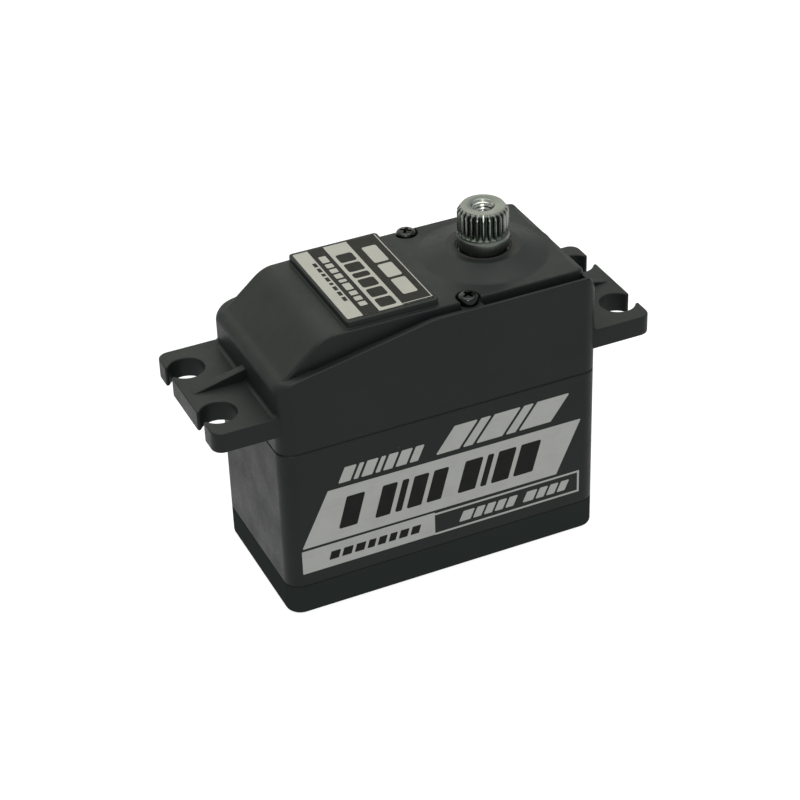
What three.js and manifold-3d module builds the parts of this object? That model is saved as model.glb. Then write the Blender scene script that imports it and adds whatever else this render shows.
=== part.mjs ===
// Standard-size geared servo motor: faceted solid model in millimetres, +Z up.
// Origin: centre of the footprint, on the underside of the bottom cover.
// +X points towards the output shaft end, -Y is the side with the large label.
import * as THREE from 'three';
import { mergeVertices } from 'three/addons/utils/BufferGeometryUtils.js';
import Module from 'manifold-3d';

const wasm = await Module();
wasm.setup();

// ---------------------------------------------------------------- driving dimensions
const HALF_LENGTH = 20;            // case footprint 40 x 20
const HALF_WIDTH = 10;
const CORNER_R = 1.9;              // vertical corners of the case
const WALL = 1.4;
const LID_Z = 3.95;                // seam: bottom cover to middle case
const DECK_Z = 22.35;              // seam: middle case to upper case, top of the gear deck
const DECK_THICKNESS = 2.15;
const TOP_Z = 35.75;               // flat top of the case
const RIM_Z = 35.05;               // top of the side walls over the output half
const RIM_BREAK_X = -0.84;         // where the side wall starts to fall to the motor end
const RIM_SLOPE = 0.1925;          // fall of the rim per mm along -X
const INSET_Y = 1.15;              // raised top body stands in from the side walls
const INSET_X = 1.6;
const TOP_CORNER_R = 0.9;
const CREST_X = -13.8;             // top of the roof over the motor end
const ROOF_FOOT_X = -18.4;
const ROOF_FOOT_Z = 31.8;
const BEVEL_FOOT_Z = 32.6;         // lower edge of the sloped +X end above the gears
const FOOT_SOFT_R = 0.5;           // softened lower edge of the bottom cover
const FLOOR_Z = 1.2;               // inside of the bottom cover
const SNUG = 0.02;                 // gap between two fixed parts that touch
const OVERSHOOT = 1;               // how far a cutting tool passes the surface it cuts

const EAR_X = 27.3;                // half of the span over the mounting ears
const EAR_Y = 9.35;
const EAR_Z = 24.9;                // underside of the ears
const EAR_THICKNESS = 2.54;
const EAR_TOP_Z = EAR_Z + EAR_THICKNESS;
const EAR_CORNER_R = 0.9;
const EAR_ROOT_FILLET = 0.45;      // where the ear top meets the end wall
const EAR_HOLE = { x: 25.1, y: 5.07, r: 2.1, slotWidth: 2.1 };
const RIB = { topZ: 29.1, tipX: 26.4, thickness: 1.0 };  // gusset in the middle of each ear

const PAD = { x0: -10.6, x1: 0.5, y0: -8.3, y1: 8.65, height: 0.8 };
const TOP_LABEL = { x0: -10.3, x1: 0.15, y0: -7.68, y1: 8.05, thickness: 0.12, cornerR: 0.4 };
// Grooves along the foot of the raised body, on each side of the top screws.
const MOTOR_GROOVE = { endX: -15.5, endDepth: 0.12, depth: 0.3, y: 9.4 };
const GEAR_GROOVE = { endX: 18.2, depth: 0.6, y: 9.65 };
const SIDE_LABEL = { x0: -18.4, x1: 17.9, z0: 5.5, z1: 20.8, thickness: 0.1 };
const GLAND = { y: 3.0, z0: 2.7, z1: 5.9, outX: 20.8, slotY: 2.0, slotZ: 0.6, grooveDepth: 0.12, tail: 1.1 };

const SHAFT_X = 10.1;              // output axis
const SHAFT = {
  topZ: 41.85, endFaceR: 2.5, chamferZ: 41.5,
  splineZ: 38.65, collarZ: 37.15, collarR: 3.0, neckR: 2.8, neckZ: 36.2,
  shoulderZ: 29.7, tailR: 2.0, tailZ: 17.2,
};
const SPLINE = { teeth: 25, tipR: 2.98, rootR: 2.64, tipShare: 0.14, rootShare: 0.36 };
const HORN_HOLE = { r: 1.05, mouthR: 1.4, mouthDepth: 0.35, floorZ: 34.5, coneZ: 35 };
const BOSS = { baseR: 7.6, topR: 4.4, topZ: 36.75, boreR: 3.65 };
const SEAL = { outerR: 3.58, lipR: 2.86, bodyR: 3.04, z0: 36.05, bodyZ: 36.24, lipZ: 36.3, z1: 36.6 };
const UPPER_BEARING = { innerR: SHAFT.collarR, outerR: 5.0, z0: 33.0, z1: 35.95 };
const LOWER_BEARING = { innerR: 2.02, outerR: 3.5, z0: DECK_Z - DECK_THICKNESS + 0.32, z1: DECK_Z - 0.03 };
const BALLS = 7;

const MOTOR_X = -8.9;
const MIDDLE_X = 0.1;              // shared pin of gears 1 and 3
const IDLER_X = -7.9;              // pin of gear 2
const PIN_R = 0.75;
const PIN_TOP_Z = 34.2;
const RUNNING_GAP = 0.05;

const PRESSURE_ANGLE = THREE.MathUtils.degToRad(20);
const PINION_SHIFT = 0.4;          // profile shift: small pinions gain it, their wheels lose it
const TOOTH_BACKLASH = 0.06;
const CURVED_FLANK_TEETH = 15;     // gears with no more teeth than this get curved flanks
const STAGE_1 = { module: 0.3, pinion: 10, wheel: 50 };
const STAGE_2 = { module: 0.32, pinion: 10, wheel: 40 };
const STAGE_3 = { module: 0.4, pinion: 10, wheel: 30 };
const STAGE_4 = { module: 0.5, pinion: 10, wheel: 30 };
const GEAR_Z = {                   // lower and upper face of every toothed ring
  motorPinion: [22.4, 24.2],
  wheel1: [22.7, 23.9], pinion2: [23.8, 27.0],
  wheel2: [24.6, 26.2], pinion3: [26.1, 29.9],
  wheel3: [27.6, 29.4], pinion4: [29.3, 33.0],
  wheel4: [30.2, 32.6], outputHub: [29.75, 32.95],
};
const OUTPUT_HUB_R = 4.3;

const CASE_SCREW = {
  x: 17.4, y: 7.4, headR: 1.6, headHeight: 1.0, headZ: 1.38, shankR: 0.8, tipZ: 27.5, postR: 2.1,
};
const TOP_SCREW = {
  x: 4.1, y: 8.2, headR: 1.18, headTopZ: 36.1, headFloorZ: 35.05, shankR: 0.7, tipZ: 16.5,
  lugR: 1.3, towerR: 1.25, recessR: 1.42, bridgeHalfWidth: 1.3,
};
const MOTOR_SCREW = { y: 4.9, headR: 1.5, headHeight: 0.55, shankR: 0.7, tipZ: 18.9 };
const SCREW_CROSS = { armShare: 0.62, halfWidth: 0.17, depthShare: 0.55 };

const CAN = { r: 7.6, bore: 7.1, z0: 5.4, z1: 20.1, lidZ: 19.4 };
const BUSH = { innerR: 0.82, outerR: 1.93, z0: 18.6, z1: 20.6 };
const MAGNET = { innerR: 1.3, outerR: 4.6, z0: 8.9, z1: 18.4 };
const CUP = { hubR: 0.77, r: 6.3, innerR: 5.4, z0: 7.7, z1: 18.3, thickness: 0.6 };
const MOTOR_SHAFT = { r: 0.75, z0: 6.2, z1: 24.2 };
const END_CAP = { innerR: 0.85, outerR: 7.05, z0: 5.5, z1: 7.0 };
const TERMINAL = { y: 4.5, halfWidth: 0.7, halfThickness: 0.2, z0: 4.6 };

const SENSOR = {
  r: 5.6, z0: 11.2, z1: 16.2, footX: 4.8, footY0: 4.2, footY1: 7.4, footZ: 12.6, boreR: 1.35,
};
const SENSOR_SHAFT = { r: 1.2, z0: 12.6, z1: 19.4 };
const LEAD = { r: 0.3, spacing: 1.6, steps: 10 };
const BOARD = { x: 15.0, y: 8.2, cornerR: 0.8, z0: 3.0, z1: 4.0 };
const CHIP_TOP_Z = 5.2;

const FINE_SIDES = 28;
const ROUND_SIDES = 20;
const SCREW_SIDES = 12;
const SMALL_SIDES = 10;
const CORNER_STEPS = 2;            // curve steps per quarter corner

// ---------------------------------------------------------------- materials
const plastic = (color, roughness) => new THREE.MeshStandardMaterial({ color, roughness, metalness: 0 });
const metal = (color, roughness) => new THREE.MeshStandardMaterial({ color, roughness, metalness: 1 });
const blackPlastic = () => plastic(0x1b1d1f, 0.55);
const greyPlastic = () => plastic(0x303234, 0.6);
const rubber = () => plastic(0x141414, 0.9);
const boardGreen = () => plastic(0x1d4a2c, 0.5);
const steel = () => metal(0xb9bcba, 0.3);
const darkSteel = () => metal(0x2b2c2e, 0.35);
const brass = () => metal(0xb99b52, 0.35);
const foil = () => metal(0xa9aaa4, 0.4);
const copper = () => metal(0xa35f35, 0.4);
const magnet = () => metal(0x5a5c60, 0.4);

// ---------------------------------------------------------------- basic solids
function solid(geometry) {
  const bare = geometry.clone();
  bare.deleteAttribute('normal');
  bare.deleteAttribute('uv');
  const merged = mergeVertices(bare, 1e-5);
  return new wasm.Manifold(new wasm.Mesh({
    numProp: 3,
    vertProperties: new Float32Array(merged.attributes.position.array),
    triVerts: new Uint32Array(merged.index.array),
  }));
}

function geometryOf(body) {
  const mesh = body.getMesh();
  const geometry = new THREE.BufferGeometry();
  geometry.setAttribute('position', new THREE.BufferAttribute(new Float32Array(mesh.vertProperties), 3));
  geometry.setIndex(new THREE.BufferAttribute(new Uint32Array(mesh.triVerts), 1));
  geometry.computeVertexNormals();
  return geometry;
}

function union(bodies) {
  return bodies.reduce((all, body) => all.add(body));
}

function box(x0, x1, y0, y1, z0, z1) {
  const geometry = new THREE.BoxGeometry(x1 - x0, y1 - y0, z1 - z0);
  return solid(geometry.translate((x0 + x1) / 2, (y0 + y1) / 2, (z0 + z1) / 2));
}

function roundedRect(x0, x1, y0, y1, r) {
  const shape = new THREE.Shape();
  shape.moveTo(x0 + r, y0);
  shape.lineTo(x1 - r, y0);
  shape.absarc(x1 - r, y0 + r, r, -Math.PI / 2, 0, false);
  shape.lineTo(x1, y1 - r);
  shape.absarc(x1 - r, y1 - r, r, 0, Math.PI / 2, false);
  shape.lineTo(x0 + r, y1);
  shape.absarc(x0 + r, y1 - r, r, Math.PI / 2, Math.PI, false);
  shape.lineTo(x0, y0 + r);
  shape.absarc(x0 + r, y0 + r, r, Math.PI, 1.5 * Math.PI, false);
  return shape;
}

function prism(shape, z0, z1) {
  const geometry = new THREE.ExtrudeGeometry(shape, {
    depth: z1 - z0, bevelEnabled: false, curveSegments: CORNER_STEPS,
  });
  return solid(geometry.translate(0, 0, z0));
}

// Side outline given as [x, z] points, extruded across the width from y0 to y1.
function sidePrism(points, y0, y1) {
  const shape = new THREE.Shape(points.map(([x, z]) => new THREE.Vector2(x, z)));
  const geometry = new THREE.ExtrudeGeometry(shape, { depth: y1 - y0, bevelEnabled: false });
  geometry.rotateX(Math.PI / 2);
  return solid(geometry.translate(0, y1, 0));
}

function cylinder(r, z0, z1, x = 0, y = 0, sides = ROUND_SIDES) {
  const geometry = new THREE.CylinderGeometry(r, r, z1 - z0, sides);
  geometry.rotateX(Math.PI / 2);
  return solid(geometry.translate(x, y, (z0 + z1) / 2));
}

// Closed turned solid about +Z from [radius, z] points listed bottom to top along the outside.
function turned(points, x = 0, y = 0, sides = ROUND_SIDES) {
  const profile = [...points, points[0]].map(([r, z]) => new THREE.Vector2(r, z));
  const geometry = new THREE.LatheGeometry(profile, sides);
  geometry.rotateX(Math.PI / 2);
  return solid(geometry.translate(x, y, 0));
}

function ring(innerR, outerR, z0, z1, x = 0, y = 0, sides = ROUND_SIDES) {
  return turned([[outerR, z0], [outerR, z1], [innerR, z1], [innerR, z0]], x, y, sides);
}

// ---------------------------------------------------------------- gear teeth
const involute = (angle) => Math.tan(angle) - angle;

function gearShape(teeth, module, shift, phase) {
  const pitchR = (module * teeth) / 2;
  const baseR = pitchR * Math.cos(PRESSURE_ANGLE);
  const tipR = pitchR + module * (1 + shift);
  const rootR = pitchR - module * (1.25 - shift);
  const thickness = module * (Math.PI / 2 + 2 * shift * Math.tan(PRESSURE_ANGLE)) - TOOTH_BACKLASH;
  const flankStart = Math.max(baseR, rootR);
  const halfAngle = (r) =>
    thickness / (2 * pitchR) + involute(PRESSURE_ANGLE) - involute(Math.acos(Math.min(1, baseR / r)));
  // The nearly straight flank of a wheel needs only its ends; a small pinion's is curved.
  const flankSteps = teeth > CURVED_FLANK_TEETH ? [1] : [0, 0.5, 1];
  const flank = [[rootR, halfAngle(flankStart)]];
  flankSteps.forEach((share) => {
    const r = flankStart + (tipR - flankStart) * share;
    flank.push([r, halfAngle(r)]);
  });
  const points = [];
  for (let tooth = 0; tooth < teeth; tooth += 1) {
    const centre = phase + (tooth * 2 * Math.PI) / teeth;
    const polar = ([r, a]) => new THREE.Vector2(r * Math.cos(centre + a), r * Math.sin(centre + a));
    flank.forEach(([r, a]) => points.push(polar([r, -a])));
    [...flank].reverse().forEach(([r, a]) => points.push(polar([r, a])));
  }
  return new THREE.Shape(points);
}

function gearPrism(teeth, module, shift, phase, boreR, [z0, z1], x) {
  const sides = boreR > 2 ? ROUND_SIDES : SMALL_SIDES;
  const blank = prism(gearShape(teeth, module, shift, phase), z0, z1).translate([x, 0, 0]);
  return blank.subtract(cylinder(boreR, z0 - OVERSHOOT, z1 + OVERSHOOT, x, 0, sides));
}

// Phase that puts a gap of the wheel on a tooth of its pinion. Both axes lie on the X axis;
// side is +1 when the wheel lies on the +X side of the pinion.
function meshedPhase(stage, pinionPhase, side) {
  const lineAngle = side > 0 ? 0 : Math.PI;
  return lineAngle + Math.PI + (Math.PI - stage.pinion * (pinionPhase - lineAngle)) / stage.wheel;
}

// ---------------------------------------------------------------- case shells
const outline = (grow = 0) => roundedRect(
  -HALF_LENGTH - grow, HALF_LENGTH + grow, -HALF_WIDTH - grow, HALF_WIDTH + grow, CORNER_R + grow);

const rimZ = (x) => (x > RIM_BREAK_X ? RIM_Z : RIM_Z - (RIM_BREAK_X - x) * RIM_SLOPE);

const corners = [[1, 1], [1, -1], [-1, 1], [-1, -1]];

function cornerPosts(r, z0, z1) {
  return union(corners.map(([sx, sy]) =>
    cylinder(r, z0, z1, sx * CASE_SCREW.x, sy * CASE_SCREW.y, SMALL_SIDES)));
}

// Opening for the cable gland through the +X end wall.
function glandWindow(slack) {
  return box(HALF_LENGTH - WALL - OVERSHOOT, HALF_LENGTH + OVERSHOOT, -GLAND.y - slack, GLAND.y + slack,
    GLAND.z0 - slack, GLAND.z1 + slack);
}

function bottomCover() {
  const foot = new THREE.ExtrudeGeometry(outline(-FOOT_SOFT_R), {
    depth: LID_Z - 2 * FOOT_SOFT_R, bevelEnabled: true, bevelSize: FOOT_SOFT_R, bevelThickness: FOOT_SOFT_R,
    bevelSegments: 2, curveSegments: CORNER_STEPS,
  }).translate(0, 0, FOOT_SOFT_R);
  const hollow = prism(outline(-WALL), FLOOR_Z, LID_Z + OVERSHOOT)
    .subtract(cornerPosts(CASE_SCREW.postR, 0, LID_Z + OVERSHOOT));
  const counterbores = cornerPosts(CASE_SCREW.headR + 0.1, -OVERSHOOT, CASE_SCREW.headZ + SNUG);
  const screwHoles = cornerPosts(CASE_SCREW.shankR + 0.1, -OVERSHOOT, LID_Z + OVERSHOOT);
  return solid(foot).add(prism(outline(), LID_Z - 1, LID_Z))
    .subtract(hollow).subtract(counterbores).subtract(screwHoles).subtract(glandWindow(SNUG));
}

function middleCase() {
  const hollow = prism(outline(-WALL), LID_Z - OVERSHOOT, DECK_Z - DECK_THICKNESS)
    .subtract(cornerPosts(CASE_SCREW.postR - 0.2, LID_Z - OVERSHOOT, DECK_Z));
  const above = DECK_Z + OVERSHOOT;
  const below = DECK_Z - DECK_THICKNESS - OVERSHOOT;
  const holes = [
    cornerPosts(CASE_SCREW.shankR + 0.1, LID_Z - OVERSHOOT, above),
    cylinder(2.4, below, above, MOTOR_X),
    cylinder(LOWER_BEARING.outerR + 0.03, LOWER_BEARING.z0 - SNUG, above, SHAFT_X),
    cylinder(2.6, below, above, SHAFT_X),
    cylinder(PIN_R + SNUG, DECK_Z - 1.2, above, MIDDLE_X, 0, SMALL_SIDES),
    glandWindow(SNUG),
    box(SIDE_LABEL.x0 - SNUG, SIDE_LABEL.x1 + SNUG, -HALF_WIDTH - OVERSHOOT,
      -HALF_WIDTH + SIDE_LABEL.thickness + SNUG, SIDE_LABEL.z0 - SNUG, SIDE_LABEL.z1 + SNUG),
  ];
  [1, -1].forEach((side) => {
    holes.push(cylinder(MOTOR_SCREW.shankR + 0.15, below, above, MOTOR_X, side * MOTOR_SCREW.y, SMALL_SIDES));
    holes.push(cylinder(TOP_SCREW.shankR + 0.06, TOP_SCREW.tipZ - 0.5, above,
      TOP_SCREW.x, side * TOP_SCREW.y, SMALL_SIDES));
  });
  const screwLugs = union([1, -1].map((side) =>
    cylinder(TOP_SCREW.lugR, TOP_SCREW.tipZ - 1.5, DECK_Z - 1,
      TOP_SCREW.x, side * TOP_SCREW.y, SMALL_SIDES)));
  return prism(outline(), LID_Z, DECK_Z).subtract(hollow).add(screwLugs).subtract(union(holes));
}

// Side walls up to the rim, which falls towards the motor end.
function wallBlock() {
  const far = HALF_LENGTH + OVERSHOOT;
  const side = [[-far, DECK_Z], [far, DECK_Z], [far, RIM_Z], [RIM_BREAK_X, RIM_Z], [-far, rimZ(-far)]];
  return prism(outline(), DECK_Z, TOP_Z)
    .intersect(sidePrism(side, -HALF_WIDTH - OVERSHOOT, HALF_WIDTH + OVERSHOOT));
}

// Raised body with the flat top and the steep roof over the motor end.
function topBlock() {
  const endX = HALF_LENGTH - INSET_X;
  const halfWidth = HALF_WIDTH - INSET_Y;
  const baseZ = DECK_Z + 6;
  const side = [
    [ROOF_FOOT_X, baseZ], [endX, baseZ], [endX, TOP_Z], [CREST_X, TOP_Z], [ROOF_FOOT_X, ROOF_FOOT_Z],
  ];
  const plan = roundedRect(ROOF_FOOT_X, endX, -halfWidth, halfWidth, TOP_CORNER_R);
  return prism(plan, baseZ, TOP_Z).intersect(sidePrism(side, -HALF_WIDTH, HALF_WIDTH));
}

// Narrow grooves in the ledge beside the raised body, bridged at the two top screws.
function ledgeGrooves() {
  const bridgeStart = TOP_SCREW.x - TOP_SCREW.bridgeHalfWidth;
  const bridgeEnd = TOP_SCREW.x + TOP_SCREW.bridgeHalfWidth;
  const motorFloorZ = RIM_Z - MOTOR_GROOVE.depth;
  const gearFloorZ = RIM_Z - GEAR_GROOVE.depth;
  const motorSide = [
    [MOTOR_GROOVE.endX, rimZ(MOTOR_GROOVE.endX) - MOTOR_GROOVE.endDepth], [RIM_BREAK_X, motorFloorZ],
    [bridgeStart, motorFloorZ], [bridgeStart, TOP_Z], [MOTOR_GROOVE.endX, TOP_Z],
  ];
  const gearSide = [
    [bridgeEnd, gearFloorZ], [GEAR_GROOVE.endX, gearFloorZ], [GEAR_GROOVE.endX, TOP_Z], [bridgeEnd, TOP_Z],
  ];
  const innerY = HALF_WIDTH - INSET_Y - 0.2;
  const bothSides = (side, y) => [sidePrism(side, innerY, y), sidePrism(side, -y, -innerY)];
  return union([...bothSides(motorSide, MOTOR_GROOVE.y), ...bothSides(gearSide, GEAR_GROOVE.y)]);
}

// Wedge that cuts the +X end to its slope above BEVEL_FOOT_Z.
function endBevel() {
  const rise = TOP_Z - BEVEL_FOOT_Z;
  return sidePrism([
    [HALF_LENGTH - 2 * INSET_X, TOP_Z + rise], [HALF_LENGTH + INSET_X, BEVEL_FOOT_Z - rise],
    [HALF_LENGTH + INSET_X, TOP_Z + rise],
  ], -HALF_WIDTH - OVERSHOOT, HALF_WIDTH + OVERSHOOT);
}

// Keeps an [x, z] outline anticlockwise when it is mirrored to the -X side.
function orient(points, side) {
  return side > 0 ? points : [...points].reverse();
}

// Slotted mounting ear with its gusset rib; side is +1 for the +X end.
function ear(side) {
  const rootX = HALF_LENGTH - WALL + 0.2;
  const spanBox = (xa, xb, y0, y1, z0, z1) =>
    box(Math.min(side * xa, side * xb), Math.max(side * xa, side * xb), y0, y1, z0, z1);
  const ends = [side * EAR_X, side * (rootX - 1)];
  const plan = roundedRect(Math.min(...ends), Math.max(...ends), -EAR_Y, EAR_Y, EAR_CORNER_R);
  const plate = prism(plan, EAR_Z, EAR_TOP_Z)
    .intersect(spanBox(rootX - 0.01, EAR_X + 0.01, -HALF_WIDTH, HALF_WIDTH, EAR_Z, EAR_TOP_Z));
  const buried = EAR_TOP_Z - 0.5;
  const rib = sidePrism(orient([
    [side * rootX, buried], [side * RIB.tipX, buried], [side * RIB.tipX, EAR_TOP_Z],
    [side * rootX, RIB.topZ + 0.3],
  ], side), -RIB.thickness / 2, RIB.thickness / 2);
  const filletX = HALF_LENGTH + EAR_ROOT_FILLET;
  const rootFillet = sidePrism(orient([
    [side * rootX, buried], [side * filletX, buried], [side * filletX, EAR_TOP_Z],
    [side * HALF_LENGTH, EAR_TOP_Z + EAR_ROOT_FILLET], [side * rootX, EAR_TOP_Z + EAR_ROOT_FILLET],
  ], side), -EAR_Y + 0.01, EAR_Y - 0.01);
  const holes = union([1, -1].flatMap((sy) => [
    cylinder(EAR_HOLE.r, EAR_Z - OVERSHOOT, EAR_TOP_Z + OVERSHOOT, side * EAR_HOLE.x, sy * EAR_HOLE.y),
    spanBox(EAR_HOLE.x, EAR_X + OVERSHOOT, sy * EAR_HOLE.y - EAR_HOLE.slotWidth / 2,
      sy * EAR_HOLE.y + EAR_HOLE.slotWidth / 2, EAR_Z - OVERSHOOT, EAR_TOP_Z + OVERSHOOT),
  ]));
  return plate.add(rib).add(rootFillet).subtract(holes);
}

// Free space inside the upper case for the gears.
function gearChamber() {
  const wall = WALL - 0.1;
  const endX = HALF_LENGTH - wall;
  const highEndX = HALF_LENGTH - INSET_X - 2.2;
  const low = [
    [-HALF_LENGTH, DECK_Z - OVERSHOOT], [endX, DECK_Z - OVERSHOOT], [endX, BEVEL_FOOT_Z - 0.6],
    [endX - 1.1, RIM_Z - wall], [RIM_BREAK_X, RIM_Z - wall], [-HALF_LENGTH, rimZ(-HALF_LENGTH) - wall],
  ];
  const high = [
    [ROOF_FOOT_X + wall, DECK_Z + 5], [highEndX, DECK_Z + 5],
    [highEndX, TOP_Z - wall], [CREST_X + 0.6, TOP_Z - wall], [ROOF_FOOT_X + wall, ROOF_FOOT_Z - 0.4],
  ];
  const topHalfWidth = HALF_WIDTH - INSET_Y - wall + 0.1;
  return prism(outline(-wall), DECK_Z - OVERSHOOT, TOP_Z).intersect(sidePrism(low, -HALF_WIDTH, HALF_WIDTH))
    .add(sidePrism(high, -topHalfWidth, topHalfWidth));
}

// Material inside the upper case that carries screws, pins and the upper bearing.
function innerSupports() {
  const roofZ = TOP_Z - 0.5;
  return union([
    cornerPosts(CASE_SCREW.postR - 0.3, DECK_Z, CASE_SCREW.tipZ + 1.2),
    cylinder(UPPER_BEARING.outerR + 1.2, UPPER_BEARING.z0, roofZ, SHAFT_X),
    cylinder(PIN_R + 0.95, GEAR_Z.pinion4[1] + 0.3, roofZ, MIDDLE_X, 0, SMALL_SIDES),
    cylinder(PIN_R + 0.95, GEAR_Z.pinion3[1] + 0.4, roofZ, IDLER_X, 0, SMALL_SIDES),
    ...[1, -1].map((side) =>
      cylinder(TOP_SCREW.towerR, DECK_Z, TOP_Z - 1, TOP_SCREW.x, side * TOP_SCREW.y, SMALL_SIDES)),
  ]);
}

function upperCaseBores() {
  const bores = [
    cornerPosts(CASE_SCREW.shankR + 0.06, DECK_Z - OVERSHOOT, CASE_SCREW.tipZ + 0.3),
    cylinder(UPPER_BEARING.outerR + 0.03, 32, UPPER_BEARING.z1 + 0.05, SHAFT_X),
    cylinder(BOSS.boreR, 32, BOSS.topZ + OVERSHOOT, SHAFT_X),
    cylinder(PIN_R + SNUG, 32, PIN_TOP_Z + 0.2, MIDDLE_X, 0, SMALL_SIDES),
    cylinder(PIN_R + SNUG, 30, PIN_TOP_Z + 0.2, IDLER_X, 0, SMALL_SIDES),
  ];
  [1, -1].forEach((side) => {
    const y = side * TOP_SCREW.y;
    bores.push(cylinder(TOP_SCREW.shankR + 0.06, DECK_Z - OVERSHOOT, TOP_Z + OVERSHOOT,
      TOP_SCREW.x, y, SMALL_SIDES));
    bores.push(cylinder(TOP_SCREW.recessR, TOP_SCREW.headFloorZ, TOP_Z + OVERSHOOT, TOP_SCREW.x, y));
  });
  return union(bores);
}

function upperCase() {
  const boss = turned([[0, TOP_Z - 1], [BOSS.baseR, TOP_Z - 1], [BOSS.baseR, TOP_Z],
    [BOSS.topR, BOSS.topZ], [0, BOSS.topZ]], SHAFT_X, 0, FINE_SIDES);
  const pad = box(PAD.x0, PAD.x1, PAD.y0, PAD.y1, TOP_Z - 0.5, TOP_Z + PAD.height);
  const outside = union([wallBlock().subtract(ledgeGrooves()), topBlock(), boss, pad]).subtract(endBevel());
  return outside.subtract(gearChamber()).add(innerSupports())
    .add(ear(1)).add(ear(-1)).subtract(upperCaseBores());
}

function topLabel() {
  const z = TOP_Z + PAD.height;
  const plan = roundedRect(TOP_LABEL.x0, TOP_LABEL.x1, TOP_LABEL.y0, TOP_LABEL.y1, TOP_LABEL.cornerR);
  return prism(plan, z + SNUG / 2, z + TOP_LABEL.thickness);
}

function sideLabel() {
  return box(SIDE_LABEL.x0, SIDE_LABEL.x1, -HALF_WIDTH, -HALF_WIDTH + SIDE_LABEL.thickness,
    SIDE_LABEL.z0, SIDE_LABEL.z1);
}

// Rubber entry block for the cable, held in the end wall by a groove all round.
function cableGland() {
  const middle = (GLAND.z0 + GLAND.z1) / 2;
  const innerX = HALF_LENGTH - WALL;
  const body = box(innerX - GLAND.tail, GLAND.outX, -GLAND.y, GLAND.y, GLAND.z0, GLAND.z1);
  const slot = box(innerX - 2 * GLAND.tail, GLAND.outX + OVERSHOOT, -GLAND.slotY, GLAND.slotY,
    middle - GLAND.slotZ, middle + GLAND.slotZ);
  const wallGroove = box(innerX - SNUG, HALF_LENGTH + SNUG, -GLAND.y - OVERSHOOT, GLAND.y + OVERSHOOT,
    GLAND.z0 - OVERSHOOT, GLAND.z1 + OVERSHOOT).subtract(glandWindow(-GLAND.grooveDepth));
  return body.subtract(slot).subtract(wallGroove);
}

// ---------------------------------------------------------------- screws
// Pan head with a cross recess; the head points along +Z and its underside is at headZ.
function panScrew(headR, headHeight, shankR, headZ, tipZ, x, y) {
  const top = headZ + headHeight;
  const body = turned([[0, tipZ], [shankR * 0.55, tipZ], [shankR, tipZ + 1], [shankR, headZ],
    [headR, headZ], [headR, top - headHeight * 0.4], [headR * 0.75, top], [0, top]], x, y, SCREW_SIDES);
  const arm = headR * SCREW_CROSS.armShare;
  const half = SCREW_CROSS.halfWidth;
  const recessZ = top - headHeight * SCREW_CROSS.depthShare;
  const cross = box(x - arm, x + arm, y - half, y + half, recessZ, top + OVERSHOOT)
    .add(box(x - half, x + half, y - arm, y + arm, recessZ, top + OVERSHOOT));
  return body.subtract(cross);
}

function caseScrew(sx, sy) {
  const upright = panScrew(CASE_SCREW.headR, CASE_SCREW.headHeight, CASE_SCREW.shankR,
    -CASE_SCREW.headZ, -CASE_SCREW.tipZ, 0, 0);
  return upright.rotate([180, 0, 0]).translate([sx * CASE_SCREW.x, sy * CASE_SCREW.y, 0]);
}

function topScrew(side) {
  const headZ = TOP_SCREW.headFloorZ + SNUG;
  return panScrew(TOP_SCREW.headR, TOP_SCREW.headTopZ - headZ, TOP_SCREW.shankR, headZ, TOP_SCREW.tipZ,
    TOP_SCREW.x, side * TOP_SCREW.y);
}

const motorScrew = (side) => panScrew(MOTOR_SCREW.headR, MOTOR_SCREW.headHeight, MOTOR_SCREW.shankR,
  DECK_Z + SNUG, MOTOR_SCREW.tipZ, MOTOR_X, side * MOTOR_SCREW.y);

// ---------------------------------------------------------------- output shaft and bearings
function splineShape() {
  const { teeth, tipR, rootR, tipShare, rootShare } = SPLINE;
  const pitch = (2 * Math.PI) / teeth;
  const points = [];
  for (let tooth = 0; tooth < teeth; tooth += 1) {
    [[rootR, -rootShare], [tipR, -tipShare], [tipR, tipShare], [rootR, rootShare]].forEach(([r, share]) => {
      const angle = (tooth + share) * pitch;
      points.push(new THREE.Vector2(r * Math.cos(angle), r * Math.sin(angle)));
    });
  }
  return new THREE.Shape(points);
}

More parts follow.
